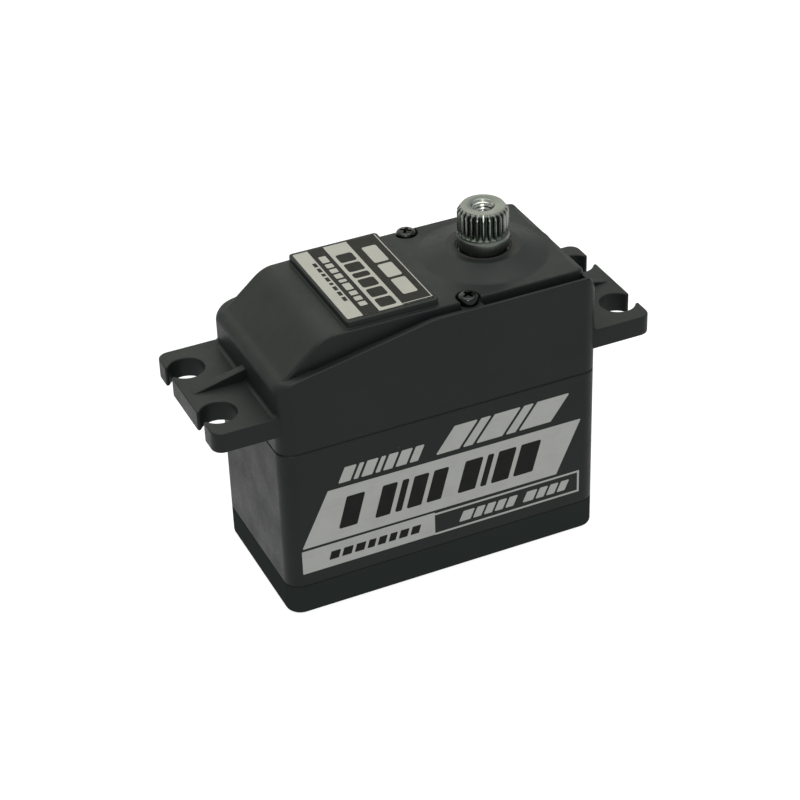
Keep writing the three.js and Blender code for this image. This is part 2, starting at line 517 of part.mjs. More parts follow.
function outputShaft() {
  const journalR = SHAFT.collarR - 0.03;
  const coreR = SPLINE.rootR - SNUG;
  const core = turned([
    [0, SHAFT.tailZ], [SHAFT.tailR, SHAFT.tailZ], [SHAFT.tailR, SHAFT.shoulderZ],
    [journalR, SHAFT.shoulderZ], [journalR, SHAFT.neckZ],
    [SHAFT.neckR, SHAFT.neckZ], [SHAFT.neckR, SHAFT.collarZ],
    [SHAFT.collarR, SHAFT.collarZ], [SHAFT.collarR, SHAFT.splineZ],
    [coreR, SHAFT.splineZ], [coreR, SHAFT.chamferZ], [SHAFT.endFaceR, SHAFT.topZ], [0, SHAFT.topZ],
  ]);
  const blank = turned([[0, SHAFT.splineZ], [SPLINE.tipR + 0.02, SHAFT.splineZ],
    [SPLINE.tipR + 0.02, SHAFT.chamferZ], [SHAFT.endFaceR, SHAFT.topZ], [0, SHAFT.topZ]], 0, 0, FINE_SIDES);
  const teeth = prism(splineShape(), SHAFT.splineZ - 0.1, SHAFT.topZ).intersect(blank);
  const { r, mouthR, mouthDepth, floorZ, coneZ } = HORN_HOLE;
  const hornHole = turned([[0, floorZ], [r, coneZ], [r, SHAFT.topZ - mouthDepth],
    [mouthR, SHAFT.topZ], [mouthR, SHAFT.topZ + OVERSHOOT], [0, SHAFT.topZ + OVERSHOOT],
  ], 0, 0, SMALL_SIDES + 4);
  const sensorHole = cylinder(SENSOR_SHAFT.r + 0.05, SHAFT.tailZ - OVERSHOOT, SENSOR_SHAFT.z1 + 0.2,
    0, 0, SMALL_SIDES);
  return core.add(teeth).subtract(hornHole).subtract(sensorHole).translate([SHAFT_X, 0, 0]);
}

function outputGear() {
  const phase = meshedPhase(STAGE_4, 0, 1);
  const wheel = gearPrism(STAGE_4.wheel, STAGE_4.module, -PINION_SHIFT, phase, SHAFT.collarR,
    GEAR_Z.wheel4, SHAFT_X);
  return wheel.add(ring(SHAFT.collarR, OUTPUT_HUB_R, ...GEAR_Z.outputHub, SHAFT_X));
}

// Lip seal in the boss bore; its lip stands just off the neck of the shaft.
const shaftSeal = () => turned([
  [SEAL.bodyR, SEAL.z0], [SEAL.outerR, SEAL.z0], [SEAL.outerR, SEAL.z1],
  [SEAL.lipR, SEAL.z1], [SEAL.lipR, SEAL.lipZ], [SEAL.bodyR, SEAL.bodyZ],
], SHAFT_X, 0, FINE_SIDES);

// Race rings and a ball cage of one ball bearing.
function bearing({ innerR, outerR, z0, z1 }) {
  const wall = (outerR - innerR) * 0.24;
  const middle = (z0 + z1) / 2;
  const trackR = (innerR + outerR) / 2;
  const ballR = Math.min((outerR - innerR) / 2 - wall, (z1 - z0) / 2) - 0.04;
  const balls = [];
  for (let i = 0; i < BALLS; i += 1) {
    const angle = (i * 2 * Math.PI) / BALLS;
    const ball = new THREE.SphereGeometry(ballR, 6, 4);
    ball.translate(SHAFT_X + trackR * Math.cos(angle), trackR * Math.sin(angle), middle);
    balls.push(solid(ball));
  }
  const cage = ring(trackR - ballR * 0.4, trackR + ballR * 0.4,
    middle - ballR * 0.5, middle + ballR * 0.5, SHAFT_X);
  return {
    outer: ring(outerR - wall, outerR, z0, z1, SHAFT_X),
    inner: ring(innerR, innerR + wall, z0, z1, SHAFT_X),
    balls: union([cage, ...balls]),
  };
}

// ---------------------------------------------------------------- gear train
// Wheel of one stage with the pinion of the next, turning on a fixed pin.
function compoundGear(x, wheelStage, wheelPhase, wheelZ, pinionStage, pinionZ) {
  const bore = PIN_R + RUNNING_GAP;
  const wheel = gearPrism(wheelStage.wheel, wheelStage.module, -PINION_SHIFT, wheelPhase, bore, wheelZ, x);
  const pinion = gearPrism(pinionStage.pinion, pinionStage.module, PINION_SHIFT, 0, bore, pinionZ, x);
  return wheel.add(pinion);
}

const gear1 = () => compoundGear(
  MIDDLE_X, STAGE_1, meshedPhase(STAGE_1, 0, 1), GEAR_Z.wheel1, STAGE_2, GEAR_Z.pinion2);
const gear2 = () => compoundGear(
  IDLER_X, STAGE_2, meshedPhase(STAGE_2, 0, -1), GEAR_Z.wheel2, STAGE_3, GEAR_Z.pinion3);
const gear3 = () => compoundGear(
  MIDDLE_X, STAGE_3, meshedPhase(STAGE_3, 0, 1), GEAR_Z.wheel3, STAGE_4, GEAR_Z.pinion4);

const middlePin = () => cylinder(PIN_R, DECK_Z - 1.1, PIN_TOP_Z, MIDDLE_X, 0, SMALL_SIDES);
const idlerPin = () => cylinder(PIN_R, GEAR_Z.wheel2[0] - 0.15, PIN_TOP_Z, IDLER_X, 0, SMALL_SIDES);

// ---------------------------------------------------------------- motor
function motorCan() {
  const edge = 0.3;
  const body = turned([[CAN.bore, CAN.z0], [CAN.r, CAN.z0], [CAN.r, CAN.z1 - edge], [CAN.r - edge, CAN.z1],
    [BUSH.outerR + 0.04, CAN.z1], [BUSH.outerR + 0.04, CAN.lidZ], [CAN.bore, CAN.lidZ],
  ], MOTOR_X, 0, FINE_SIDES);
  const holes = union([1, -1].map((side) => cylinder(
    MOTOR_SCREW.shankR + SNUG, CAN.lidZ - OVERSHOOT, CAN.z1 + OVERSHOOT,
    MOTOR_X, side * MOTOR_SCREW.y, SMALL_SIDES)));
  return body.subtract(holes);
}

const motorBush = () => ring(BUSH.innerR, BUSH.outerR, BUSH.z0, BUSH.z1, MOTOR_X);
const motorMagnet = () => ring(MAGNET.innerR, MAGNET.outerR, MAGNET.z0, MAGNET.z1, MOTOR_X);
const motorShaft = () => cylinder(MOTOR_SHAFT.r, MOTOR_SHAFT.z0, MOTOR_SHAFT.z1, MOTOR_X, 0, SMALL_SIDES);

// Cup-shaped winding that turns between the magnet and the can.
function motorWinding() {
  const floorZ = CUP.z0 + CUP.thickness;
  return turned([[CUP.hubR, CUP.z0], [CUP.r, CUP.z0], [CUP.r, CUP.z1], [CUP.innerR, CUP.z1],
    [CUP.innerR, floorZ], [CUP.hubR, floorZ]], MOTOR_X);
}

function motorEndCap() {
  const cap = ring(END_CAP.innerR, END_CAP.outerR, END_CAP.z0, END_CAP.z1, MOTOR_X);
  const terminals = union([1, -1].map((side) => box(
    MOTOR_X - TERMINAL.halfWidth, MOTOR_X + TERMINAL.halfWidth,
    side * TERMINAL.y - TERMINAL.halfThickness, side * TERMINAL.y + TERMINAL.halfThickness,
    TERMINAL.z0, END_CAP.z0 + 0.1)));
  return cap.add(terminals);
}

const motorPinion = () => gearPrism(
  STAGE_1.pinion, STAGE_1.module, PINION_SHIFT, 0, MOTOR_SHAFT.r + SNUG, GEAR_Z.motorPinion, MOTOR_X);

// ---------------------------------------------------------------- position sensor and electronics
function sensorBody() {
  const body = cylinder(SENSOR.r, SENSOR.z0, SENSOR.z1, SHAFT_X);
  const foot = box(SHAFT_X - SENSOR.footX, SHAFT_X + SENSOR.footX, SENSOR.footY0, SENSOR.footY1,
    SENSOR.z0, SENSOR.footZ);
  const bore = cylinder(SENSOR.boreR, SENSOR_SHAFT.z0 - 0.2, SENSOR.z1 + OVERSHOOT, SHAFT_X, 0, SMALL_SIDES);
  return body.add(foot).subtract(bore);
}

const sensorShaft = () => cylinder(SENSOR_SHAFT.r, SENSOR_SHAFT.z0, SENSOR_SHAFT.z1, SHAFT_X, 0, SMALL_SIDES);

// One of the three insulated leads from the sensor down to the board.
function sensorLead(index) {
  const x = SHAFT_X + index * LEAD.spacing;
  const route = [
    [x, 6.4, SENSOR.z0 - 0.1], [x, 6.5, 8.6], [x - 0.4, 6.3, 6.2], [x - 0.4, 6.2, BOARD.z1 + 0.15],
  ];
  const path = new THREE.CatmullRomCurve3(route.map((point) => new THREE.Vector3(...point)));
  const section = new THREE.Shape();
  section.absarc(0, 0, LEAD.r, 0, 2 * Math.PI, false);
  const along = { steps: LEAD.steps, extrudePath: path, curveSegments: 3 };
  return solid(new THREE.ExtrudeGeometry(section, along));
}

const circuitBoard = () => prism(
  roundedRect(-BOARD.x, BOARD.x, -BOARD.y, BOARD.y, BOARD.cornerR), BOARD.z0, BOARD.z1);
const boardBlock = (x0, x1, y0, y1) => box(x0, x1, y0, y1, BOARD.z1 + SNUG, CHIP_TOP_Z);
const boardCapacitor = () => cylinder(1.6, BOARD.z1 + SNUG, 8.4, 2.6, 5.6, SMALL_SIDES);

// ---------------------------------------------------------------- assembly
const group = new THREE.Group();
group.name = 'servo_motor';

function addNode(name, body, material) {
  const mesh = new THREE.Mesh(geometryOf(body), material);
  mesh.name = name;
  group.add(mesh);
}

addNode('bottom_cover', bottomCover(), blackPlastic());
addNode('middle_case', middleCase(), blackPlastic());
addNode('upper_case', upperCase(), blackPlastic());
addNode('top_label', topLabel(), foil());
addNode('side_label', sideLabel(), foil());
addNode('cable_gland', cableGland(), rubber());
corners.forEach(([sx, sy], i) => addNode(`case_screw_${i + 1}`, caseScrew(sx, sy), darkSteel()));
addNode('top_screw_near', topScrew(-1), darkSteel());
addNode('top_screw_far', topScrew(1), darkSteel());

addNode('output_shaft', outputShaft(), steel());
addNode('output_gear', outputGear(), steel());
Object.entries({ upper: UPPER_BEARING, lower: LOWER_BEARING }).forEach(([place, size]) => {
  Object.entries(bearing(size)).forEach(([piece, body]) => {
    addNode(`${place}_bearing_${piece}`, body, steel());
  });
});
addNode('shaft_seal', shaftSeal(), rubber());
addNode('middle_pin', middlePin(), steel());
addNode('idler_pin', idlerPin(), steel());
addNode('gear_1', gear1(), brass());
addNode('gear_2', gear2(), steel());
addNode('gear_3', gear3(), steel());

addNode('motor_can', motorCan(), steel());
addNode('motor_end_cap', motorEndCap(), greyPlastic());
addNode('motor_bush', motorBush(), brass());
addNode('motor_magnet', motorMagnet(), magnet());
addNode('motor_winding', motorWinding(), copper());
addNode('motor_shaft', motorShaft(), steel());
addNode('motor_pinion', motorPinion(), brass());
addNode('motor_screw_1', motorScrew(-1), darkSteel());
addNode('motor_screw_2', motorScrew(1), darkSteel());

addNode('sensor_body', sensorBody(), greyPlastic());
addNode('sensor_shaft', sensorShaft(), greyPlastic());
[-1, 0, 1].forEach((index) => addNode(`sensor_lead_${index + 2}`, sensorLead(index), rubber()));
addNode('circuit_board', circuitBoard(), boardGreen());
addNode('board_chip', boardBlock(4.0, 9.0, -3.0, 2.0), blackPlastic());
addNode('board_driver_1', boardBlock(11.0, 14.0, -6.0, -3.0), blackPlastic());
addNode('board_driver_2', boardBlock(11.0, 14.0, 2.7, 5.7), blackPlastic());
addNode('board_capacitor', boardCapacitor(), foil());

export default group;
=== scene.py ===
import math

import bmesh
import bpy
from mathutils import Matrix, Vector


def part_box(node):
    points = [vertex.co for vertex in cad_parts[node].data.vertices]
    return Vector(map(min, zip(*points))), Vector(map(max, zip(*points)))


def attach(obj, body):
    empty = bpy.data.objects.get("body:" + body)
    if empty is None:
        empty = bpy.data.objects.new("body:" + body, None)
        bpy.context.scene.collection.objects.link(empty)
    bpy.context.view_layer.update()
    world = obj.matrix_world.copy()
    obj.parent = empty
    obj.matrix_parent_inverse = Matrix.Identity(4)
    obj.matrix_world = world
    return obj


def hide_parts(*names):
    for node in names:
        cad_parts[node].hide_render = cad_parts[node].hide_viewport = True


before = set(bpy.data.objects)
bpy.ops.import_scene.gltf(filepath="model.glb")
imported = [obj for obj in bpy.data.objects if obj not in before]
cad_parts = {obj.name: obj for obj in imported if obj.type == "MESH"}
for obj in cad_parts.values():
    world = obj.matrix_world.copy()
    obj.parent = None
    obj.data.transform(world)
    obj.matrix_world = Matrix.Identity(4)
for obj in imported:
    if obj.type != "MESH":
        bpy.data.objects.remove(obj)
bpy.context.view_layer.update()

# Everything below is in millimetres until a piece is placed, which scales it to metres.
MM = 0.001


def box_mm(node):
    """Lowest and highest corner of a CAD node, in millimetres."""
    low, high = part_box(node)
    return low / MM, high / MM


# ---------------------------------------------------------------- sizes taken from the CAD
cover_high = box_mm("bottom_cover")[1]
middle_high = box_mm("middle_case")[1]
upper_high = box_mm("upper_case")[1]
shaft_low, shaft_high = box_mm("output_shaft")
pin_low, pin_high = box_mm("middle_pin")
gland_low, gland_high = box_mm("cable_gland")
screw_low, screw_high = box_mm("top_screw_near")
pad_label_low, pad_label_high = box_mm("top_label")
seal_low = box_mm("shaft_seal")[0]

HALF_LENGTH = cover_high.x
HALF_WIDTH = cover_high.y
LID_Z = cover_high.z
DECK_Z = middle_high.z
EAR_X = upper_high.x
SHAFT_X = (shaft_low.x + shaft_high.x) / 2
SHAFT_TOP_Z = shaft_high.z
PIN_X = (pin_low.x + pin_high.x) / 2
SCREW_CENTRE_X = (screw_low.x + screw_high.x) / 2
SCREW_CENTRES_Y = [(screw_low.y + screw_high.y) / 2, -(screw_low.y + screw_high.y) / 2]
CORNER_R = 1.9
WALL = 1.4
SEAM_BREAK = 0.17
ARC_STEPS = 10

TOP_Z = 35.75
RIM_Z = 35.05
RIM_BREAK_X = -0.84
RIM_SLOPE = 0.1925
RIM_R = 0.2
END_RIM_R = 1.0
INSET_Y = 1.15
BLOCK_R = 0.2
CREST_R = 0.42
DECK_THICKNESS = 2.15
GROOVE_X = (-15.5, 18.2)
LUG_HALF = 1.3
BOSS_TOP_Z = 36.75
IDLER_PIN_X = -7.9
MOTOR_X = -8.9
SCREW_SEAT_Z = 35.05
CREST_X = -13.8
ROOF_FOOT_X = -18.4
ROOF_SLOPE = 0.859
END_SLOPE = 1.97
END_SLOPE_X = 18.4

EAR_Z = 24.9
EAR_TOP_Z = 27.44
EAR_Y = 9.35
EAR_CORNER_R = 1.5
EAR_EDGE_R = 0.2
EAR_ROOT_R = 0.45
EAR_BURIED_X = 18.9
RIB_HALF = 0.52
RIB_TIP_X = 26.45
RIB_TOP_Z = 29.26
HOLE_X = 25.1
HOLE_Y = 5.07
HOLE_R = 2.1
SLOT_HALF = 1.05

PAD_X = (-10.6, 0.5)
PAD_Y = (-8.3, 8.65)
PAD_HEIGHT = 0.8
PAD_FOOT_R = 0.13


# ---------------------------------------------------------------- mesh tools
def new_object(name, mesh):
    obj = bpy.data.objects.new(name, mesh)
    bpy.context.scene.collection.objects.link(obj)
    return obj


def mesh_from(verts, faces, name="part"):
    mesh = bpy.data.meshes.new(name)
    mesh.from_pydata([tuple(v) for v in verts], [], faces)
    mesh.update()
    return mesh


def applied(obj):
    """The object's mesh with its modifiers applied; the object keeps it."""
    graph = bpy.context.evaluated_depsgraph_get()
    mesh = bpy.data.meshes.new_from_object(obj.evaluated_get(graph), depsgraph=graph)
    obj.modifiers.clear()
    obj.data = mesh
    return obj


def combine(obj, tools, operation):
    """Boolean of obj with each tool in turn; the tools are used up."""
    for tool in tools:
        step = obj.modifiers.new("combine", "BOOLEAN")
        step.operation = operation
        step.solver = "MANIFOLD"
        step.object = tool
        applied(obj)
        bpy.data.objects.remove(tool)
    return obj


def join(obj, *tools):
    return combine(obj, tools, "UNION")


def cut(obj, *tools):
    return combine(obj, tools, "DIFFERENCE")


def keep(obj, *tools):
    return combine(obj, tools, "INTERSECT")


def soften(obj, width, segments=3, angle=50):
    """Rounds every edge sharper than angle degrees."""
    bevel = obj.modifiers.new("soften", "BEVEL")
    bevel.width = width
    bevel.segments = segments
    bevel.limit_method = "ANGLE"
    bevel.angle_limit = math.radians(angle)
    bevel.miter_outer = "MITER_ARC"
    return applied(obj)


def rounded(corners, steps=6):
    """Closed outline from (a, b, radius) corners, with an arc at each corner that has a radius."""
    points = []
    count = len(corners)
    for i, (a, b, r) in enumerate(corners):
        here = Vector((a, b))
        before = Vector(corners[i - 1][:2])
        after = Vector(corners[(i + 1) % count][:2])
        if r <= 0:
            points.append(here)
            continue
        to_before = (before - here).normalized()
        to_after = (after - here).normalized()
        half = to_before.angle(to_after) / 2
        reach = min(r / math.tan(half), (before - here).length * 0.499, (after - here).length * 0.499)
        radius = reach * math.tan(half)
        centre = here + (to_before + to_after).normalized() * (radius / math.sin(half))
        start = here + to_before * reach - centre
        end = here + to_after * reach - centre
        sweep = start.angle_signed(end)
        for k in range(steps + 1):
            turn = -sweep * k / steps
            points.append(centre + Matrix.Rotation(turn, 2) @ start)
    return points


def prism(outline, low, high, axis="Z"):
    """Outline in the plane across axis, extruded from low to high along it.
    The outline's pair is (x, y) for Z, (x, z) for Y and (y, z) for X."""
    place = {
        "Z": lambda a, b, c: (a, b, c),
        "Y": lambda a, b, c: (a, c, b),
        "X": lambda a, b, c: (c, a, b),
    }[axis]
    n = len(outline)
    verts = [place(p[0], p[1], low) for p in outline] + [place(p[0], p[1], high) for p in outline]
    faces = [list(range(n)), list(range(n, 2 * n))]
    faces += [(i, (i + 1) % n, n + (i + 1) % n, n + i) for i in range(n)]
    obj = new_object("prism", mesh_from(verts, faces))
    return facing_out(obj)


def facing_out(obj):
    """Turns the faces outwards on a closed mesh."""
    work = bmesh.new()
    work.from_mesh(obj.data)
    bmesh.ops.recalc_face_normals(work, faces=work.faces)
    if work.calc_volume(signed=True) < 0:
        bmesh.ops.reverse_faces(work, faces=work.faces)
    work.to_mesh(obj.data)
    work.free()
    return obj


def turned(profile, x=0.0, y=0.0, sides=64):
    """Closed turned solid from (radius, z) points, bottom to top along the outside.
    A profile that starts and ends on the axis is solid; otherwise it closes on itself as a ring."""
    verts = []
    rows = []
    for r, z in profile:
        if r < 1e-6:
            rows.append([len(verts)])
            verts.append((x, y, z))
            continue
        rows.append(list(range(len(verts), len(verts) + sides)))
        for i in range(sides):
            angle = 2 * math.pi * i / sides
            verts.append((x + r * math.cos(angle), y + r * math.sin(angle), z))
    solid = len(rows[0]) == 1 and len(rows[-1]) == 1
    pairs = list(zip(rows, rows[1:])) + ([] if solid else [(rows[-1], rows[0])])
    faces = []
    for lower, upper in pairs:
        for i in range(sides):
            j = (i + 1) % sides
            if len(lower) == 1 and len(upper) == 1:
                break
            if len(lower) == 1:
                faces.append((lower[0], upper[j], upper[i]))
            elif len(upper) == 1:
                faces.append((lower[i], lower[j], upper[0]))
            else:
                faces.append((lower[i], lower[j], upper[j], upper[i]))
    return facing_out(new_object("turned", mesh_from(verts, faces)))


def cylinder(r, low, high, x=0.0, y=0.0, sides=48):
    return turned([(0, low), (r, low), (r, high), (0, high)], x, y, sides)


def cuboid(x0, x1, y0, y1, z0, z1):
    return prism([(x0, y0), (x1, y0), (x1, y1), (x0, y1)], z0, z1)


def plan_outline(x0, x1, half_width, r, stations):
    """Rounded rectangle as two mirrored halves, so that point i lies across from its partner."""
    r = max(r, 0.02)
    upper = []
    for k in range(ARC_STEPS + 1):
        angle = math.pi / 2 * k / ARC_STEPS
        upper.append((x1 - r + r * math.cos(angle), half_width - r + r * math.sin(angle)))
    upper += [(x, half_width) for x in sorted(stations, reverse=True)]
    for k in range(ARC_STEPS + 1):
        angle = math.pi / 2 * (1 + k / ARC_STEPS)
        upper.append((x0 + r + r * math.cos(angle), half_width - r + r * math.sin(angle)))
    return upper + [(x, -y) for x, y in reversed(upper)]


def inward(x, y, x0, x1, half_width, r, inset):
    """A point of a rounded rectangle moved inward by inset, along the outline's normal."""
    centre = Vector((min(max(x, x0 + r), x1 - r), min(max(y, r - half_width), half_width - r)))
    out = Vector((x, y)) - centre
    return tuple(Vector((x, y)) - out.normalized() * inset)


def layered(x0, x1, half_width, r, levels, stations=()):
    """Closed block from rounded-rectangle layers. Each level is (inset, z), and each of the two
    is a number or a function of x."""
    rings = []
    for inset, z in levels:
        fixed = 0 if callable(inset) else inset
        plan = plan_outline(x0 + fixed, x1 - fixed, half_width - fixed, r - fixed, stations)
        if callable(inset):
            plan = [inward(x, y, x0, x1, half_width, r, inset(x)) for x, y in plan]
        rings.append([(x, y, z(x) if callable(z) else z) for x, y in plan])
    n = len(rings[0])
    verts = [v for ring in rings for v in ring]
    faces = []
    for k in range(len(rings) - 1):
        for i in range(n):
            j = (i + 1) % n
            faces.append((k * n + i, k * n + j, (k + 1) * n + j, (k + 1) * n + i))
    last = (len(rings) - 1) * n
    for i in range(n // 2 - 1):
        across = (i, i + 1, n - 2 - i, n - 1 - i)
        faces.append(tuple(last + v for v in across))
        faces.append(tuple(reversed(across)))
    return facing_out(new_object("layered", mesh_from(verts, faces)))


def quarter(z, radius, count):
    """Levels of a convex fillet that ends inset by radius at height z."""
    levels = []
    for k in range(count + 1):
        angle = math.pi / 2 * k / count
        levels.append((radius * (1 - math.cos(angle)), z - radius * (1 - math.sin(angle))))
    return levels


def root_fillet(z, radius, count):
    """Levels of a concave fillet: it stands out by radius at height z and meets the wall radius above."""
    levels = []
    for k in range(count + 1):
        angle = math.pi / 2 * k / count
        levels.append((-radius * (1 - math.sin(angle)), z + radius * (1 - math.cos(angle))))
    return levels


def place(obj, name, body, material, nodes=(), slot=None, smooth=32):
    """Scales a finished piece to metres, sets its shading and material, and lets it ride."""
    obj.name = name
    obj.data.name = name
    obj.data.transform(Matrix.Scale(MM, 4))
    for polygon in obj.data.polygons:
        polygon.use_smooth = True
    obj.data.set_sharp_from_angle(angle=math.radians(smooth))
    weighted = obj.modifiers.new("flat_faces", "WEIGHTED_NORMAL")
    weighted.keep_sharp = True
    weighted.weight = 80
    obj.data.materials.clear()
    obj.data.materials.append(material)
    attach(obj, body)
    if nodes:
        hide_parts(*nodes)
    return obj


# ---------------------------------------------------------------- materials
def number(socket, value):
    """Puts a number, colour or node output into a socket."""
    if isinstance(value, bpy.types.NodeSocket):
        socket.id_data.links.new(value, socket)
    elif isinstance(value, (tuple, list)) and len(value) == 3:
        socket.default_value = (*value, 1.0)
    else:
        socket.default_value = value


class Finish:
    """One procedural material: a Principled shader fed by noise in the piece's own coordinates."""

    def __init__(self, name, metallic=0.0, specular=0.5):
        self.mat = bpy.data.materials.new(name)
        self.mat.use_nodes = True
        self.nodes = self.mat.node_tree.nodes
        self.links = self.mat.node_tree.links
        self.shader = self.nodes["Principled BSDF"]
        self.shader.inputs["Metallic"].default_value = metallic
        self.shader.inputs["Specular IOR Level"].default_value = specular
        self.coords = self.nodes.new("ShaderNodeTexCoord").outputs["Object"]

    def stretched(self, scale):
        mapping = self.nodes.new("ShaderNodeMapping")
        mapping.inputs["Scale"].default_value = scale
        self.links.new(self.coords, mapping.inputs["Vector"])
        return mapping.outputs["Vector"]

    def noise(self, size_mm, detail=2.0, vector=None):
        """Noise from 0 to 1 whose features are about size_mm across."""
        node = self.nodes.new("ShaderNodeTexNoise")
        node.inputs["Scale"].default_value = 1.0 / (size_mm * MM)
        node.inputs["Detail"].default_value = detail
        node.inputs["Roughness"].default_value = 0.55
        self.links.new(vector or self.coords, node.inputs["Vector"])
        return node.outputs["Fac"]

    def cells(self, size_mm):
        """Distance to the nearest of scattered points about size_mm apart."""
        node = self.nodes.new("ShaderNodeTexVoronoi")
        node.inputs["Scale"].default_value = 1.0 / (size_mm * MM)
        self.links.new(self.coords, node.inputs["Vector"])
        return node.outputs["Distance"]

    def remap(self, value, low, high, to_low, to_high):
        node = self.nodes.new("ShaderNodeMapRange")
        number(node.inputs["Value"], value)
        number(node.inputs["From Min"], low)
        number(node.inputs["From Max"], high)
        number(node.inputs["To Min"], to_low)
        number(node.inputs["To Max"], to_high)
        return node.outputs["Result"]

    def maths(self, operation, a, b=0.0):
        node = self.nodes.new("ShaderNodeMath")
        node.operation = operation
        number(node.inputs[0], a)
        number(node.inputs[1], b)
        return node.outputs[0]

    def mix(self, factor, a, b):
        node = self.nodes.new("ShaderNodeMix")
        node.data_type = "RGBA"
        number(node.inputs[0], factor)
        number(node.inputs[6], a)
        number(node.inputs[7], b)
        return node.outputs[2]

    def colour(self, value):
        number(self.shader.inputs["Base Color"], value)

    def rough(self, value):
        number(self.shader.inputs["Roughness"], value)

    def bump(self, height, depth_mm, strength=1.0):
        node = self.nodes.new("ShaderNodeBump")
        node.inputs["Strength"].default_value = strength
        node.inputs["Distance"].default_value = depth_mm * MM
        number(node.inputs["Height"], height)
        normal = self.shader.inputs["Normal"]
        if normal.is_linked:
            self.links.new(normal.links[0].from_socket, node.inputs["Normal"])
        self.links.new(node.outputs["Normal"], normal)


def moulded_plastic(name, dark, light, rough, grain_mm=0.2, specular=0.25):
    """Satin moulded plastic: fine spark-eroded grain, slow shade changes, sparse dust and rubbed patches."""
    f = Finish(name, specular=specular)
    broad = f.remap(f.noise(14, 3.0), 0.3, 0.7, 0.0, 1.0)
    shade = f.mix(broad, dark, light)
    dust_cells = f.cells(1.7)
    dust = f.remap(dust_cells, 0.035, 0.02, 0.0, 1.0)
    patch = f.remap(f.noise(9, 2.0), 0.52, 0.62, 0.0, 0.5)
    f.colour(f.mix(f.maths("MULTIPLY", dust, patch), shade, (0.16, 0.16, 0.155)))
    rubbed = f.remap(f.noise(5, 4.0), 0.35, 0.7, rough - 0.05, rough + 0.07)
    fine = f.remap(f.noise(0.5, 2.0), 0.3, 0.7, -0.03, 0.03)
    f.rough(f.maths("ADD", rubbed, fine))
    f.bump(f.noise(6.0, 1.0), 0.012, 0.35)
    f.bump(f.noise(grain_mm, 2.0), 0.006, 0.55)
    return f.mat


def foil_print(name, base, rough=0.42):
    """Silver printed film: slightly metallic, with a faint brushed grain and small pits."""
    f = Finish(name, metallic=0.45)
    grain = f.noise(0.35, 3.0, f.stretched((0.12, 0.12, 1.0)))
    pits = f.remap(f.cells(0.5), 0.05, 0.12, 0.86, 1.0)
    worn = f.remap(f.noise(2.5, 3.0), 0.35, 0.7, 0.94, 1.03)
    level = f.maths("MULTIPLY", f.maths("MULTIPLY", pits, worn), f.remap(grain, 0.3, 0.7, 0.96, 1.04))
    f.colour(f.mix(level, (0.0, 0.0, 0.0), base))
    f.rough(f.remap(grain, 0.3, 0.7, rough - 0.05, rough + 0.06))
    f.bump(f.noise(1.2, 2.0), 0.003, 0.3)
    return f.mat


def ink(name, base, rough=0.38):
    """Dark printed film."""
    f = Finish(name, specular=0.06)
    f.colour(f.mix(f.remap(f.noise(1.1, 3.0), 0.35, 0.7, 0.0, 1.0), base, tuple(c * 1.35 for c in base)))
    f.rough(f.remap(f.noise(0.6, 2.0), 0.3, 0.7, rough - 0.05, rough + 0.06))
    f.bump(f.noise(0.9, 2.0), 0.002, 0.3)
    return f.mat


def machined(name, base, tarnish, rough):
    """Machined metal with a fine grain and slow stains."""
    f = Finish(name, metallic=1.0)
    marks = f.noise(0.16, 3.0)
    stain = f.remap(f.noise(1.4, 4.0), 0.4, 0.75, 0.0, 0.7)
    f.colour(f.mix(stain, base, tarnish))
    ground = f.remap(marks, 0.3, 0.7, rough - 0.06, rough + 0.08)
    f.rough(f.maths("ADD", ground, f.remap(stain, 0, 1, 0.0, 0.08)))
    f.bump(marks, 0.0025, 0.5)
    return f.mat


def shaft_steel(name, base, face, tarnish, shade_and_collar_colour, rough):
    """Turned steel with fine rings round the shaft. Its end face is duller. Painted shade darkens the tooth
    valleys and the place where the teeth run out, and the collar is darker too."""
    f = Finish(name, metallic=1.0)
    split = f.nodes.new("ShaderNodeSeparateXYZ")
    f.links.new(f.coords, split.inputs[0])
    dx = f.maths("SUBTRACT", split.outputs[0], SHAFT_X * MM)
    radius = f.maths("SQRT", f.maths("ADD", f.maths("MULTIPLY", dx, dx),
                                     f.maths("MULTIPLY", split.outputs[1], split.outputs[1])))
    height = split.outputs[2]
    joined = f.nodes.new("ShaderNodeCombineXYZ")
    f.links.new(radius, joined.inputs[0])
    f.links.new(height, joined.inputs[2])
    marks = f.noise(0.07, 2.0, joined.outputs[0])
    stain = f.remap(f.noise(1.4, 4.0), 0.4, 0.75, 0.0, 0.7)
    valley = f.remap(radius, 2.66 * MM, 2.88 * MM, 1.0, 0.0)
    outside = f.remap(radius, 2.46 * MM, 2.5 * MM, 0.0, 1.0)
    below_face = f.remap(height, (SHAFT_TOP_Z - 0.15) * MM, (SHAFT_TOP_Z - 0.4) * MM, 0.0, 1.0)
    run_out = f.maths("MULTIPLY", f.remap(height, 39.5 * MM, 39.1 * MM, 0.0, 0.8),
                      f.remap(height, 38.55 * MM, 38.3 * MM, 1.0, 0.6))
    # painted shade: darker in the tooth valleys and where the teeth run out, and darker on the collar
    painted_shade_and_collar = f.maths("MAXIMUM", f.maths("MULTIPLY", f.maths("MULTIPLY", valley, outside), below_face), run_out)
    end_face = f.remap(height, (SHAFT_TOP_Z - 0.06) * MM, (SHAFT_TOP_Z - 0.02) * MM, 0.0, 1.0)
    steel = f.mix(end_face, f.mix(stain, base, tarnish), f.mix(stain, face, tarnish))
    f.colour(f.mix(painted_shade_and_collar, steel, shade_and_collar_colour))
    ground = f.remap(marks, 0.3, 0.7, rough - 0.06, rough + 0.08)
    ground = f.maths("ADD", ground, f.remap(stain, 0, 1, 0.0, 0.08))
    f.rough(f.maths("ADD", ground, f.maths("MULTIPLY", painted_shade_and_collar, 0.15)))
    f.bump(marks, 0.0025, 0.5)
    return f.mat


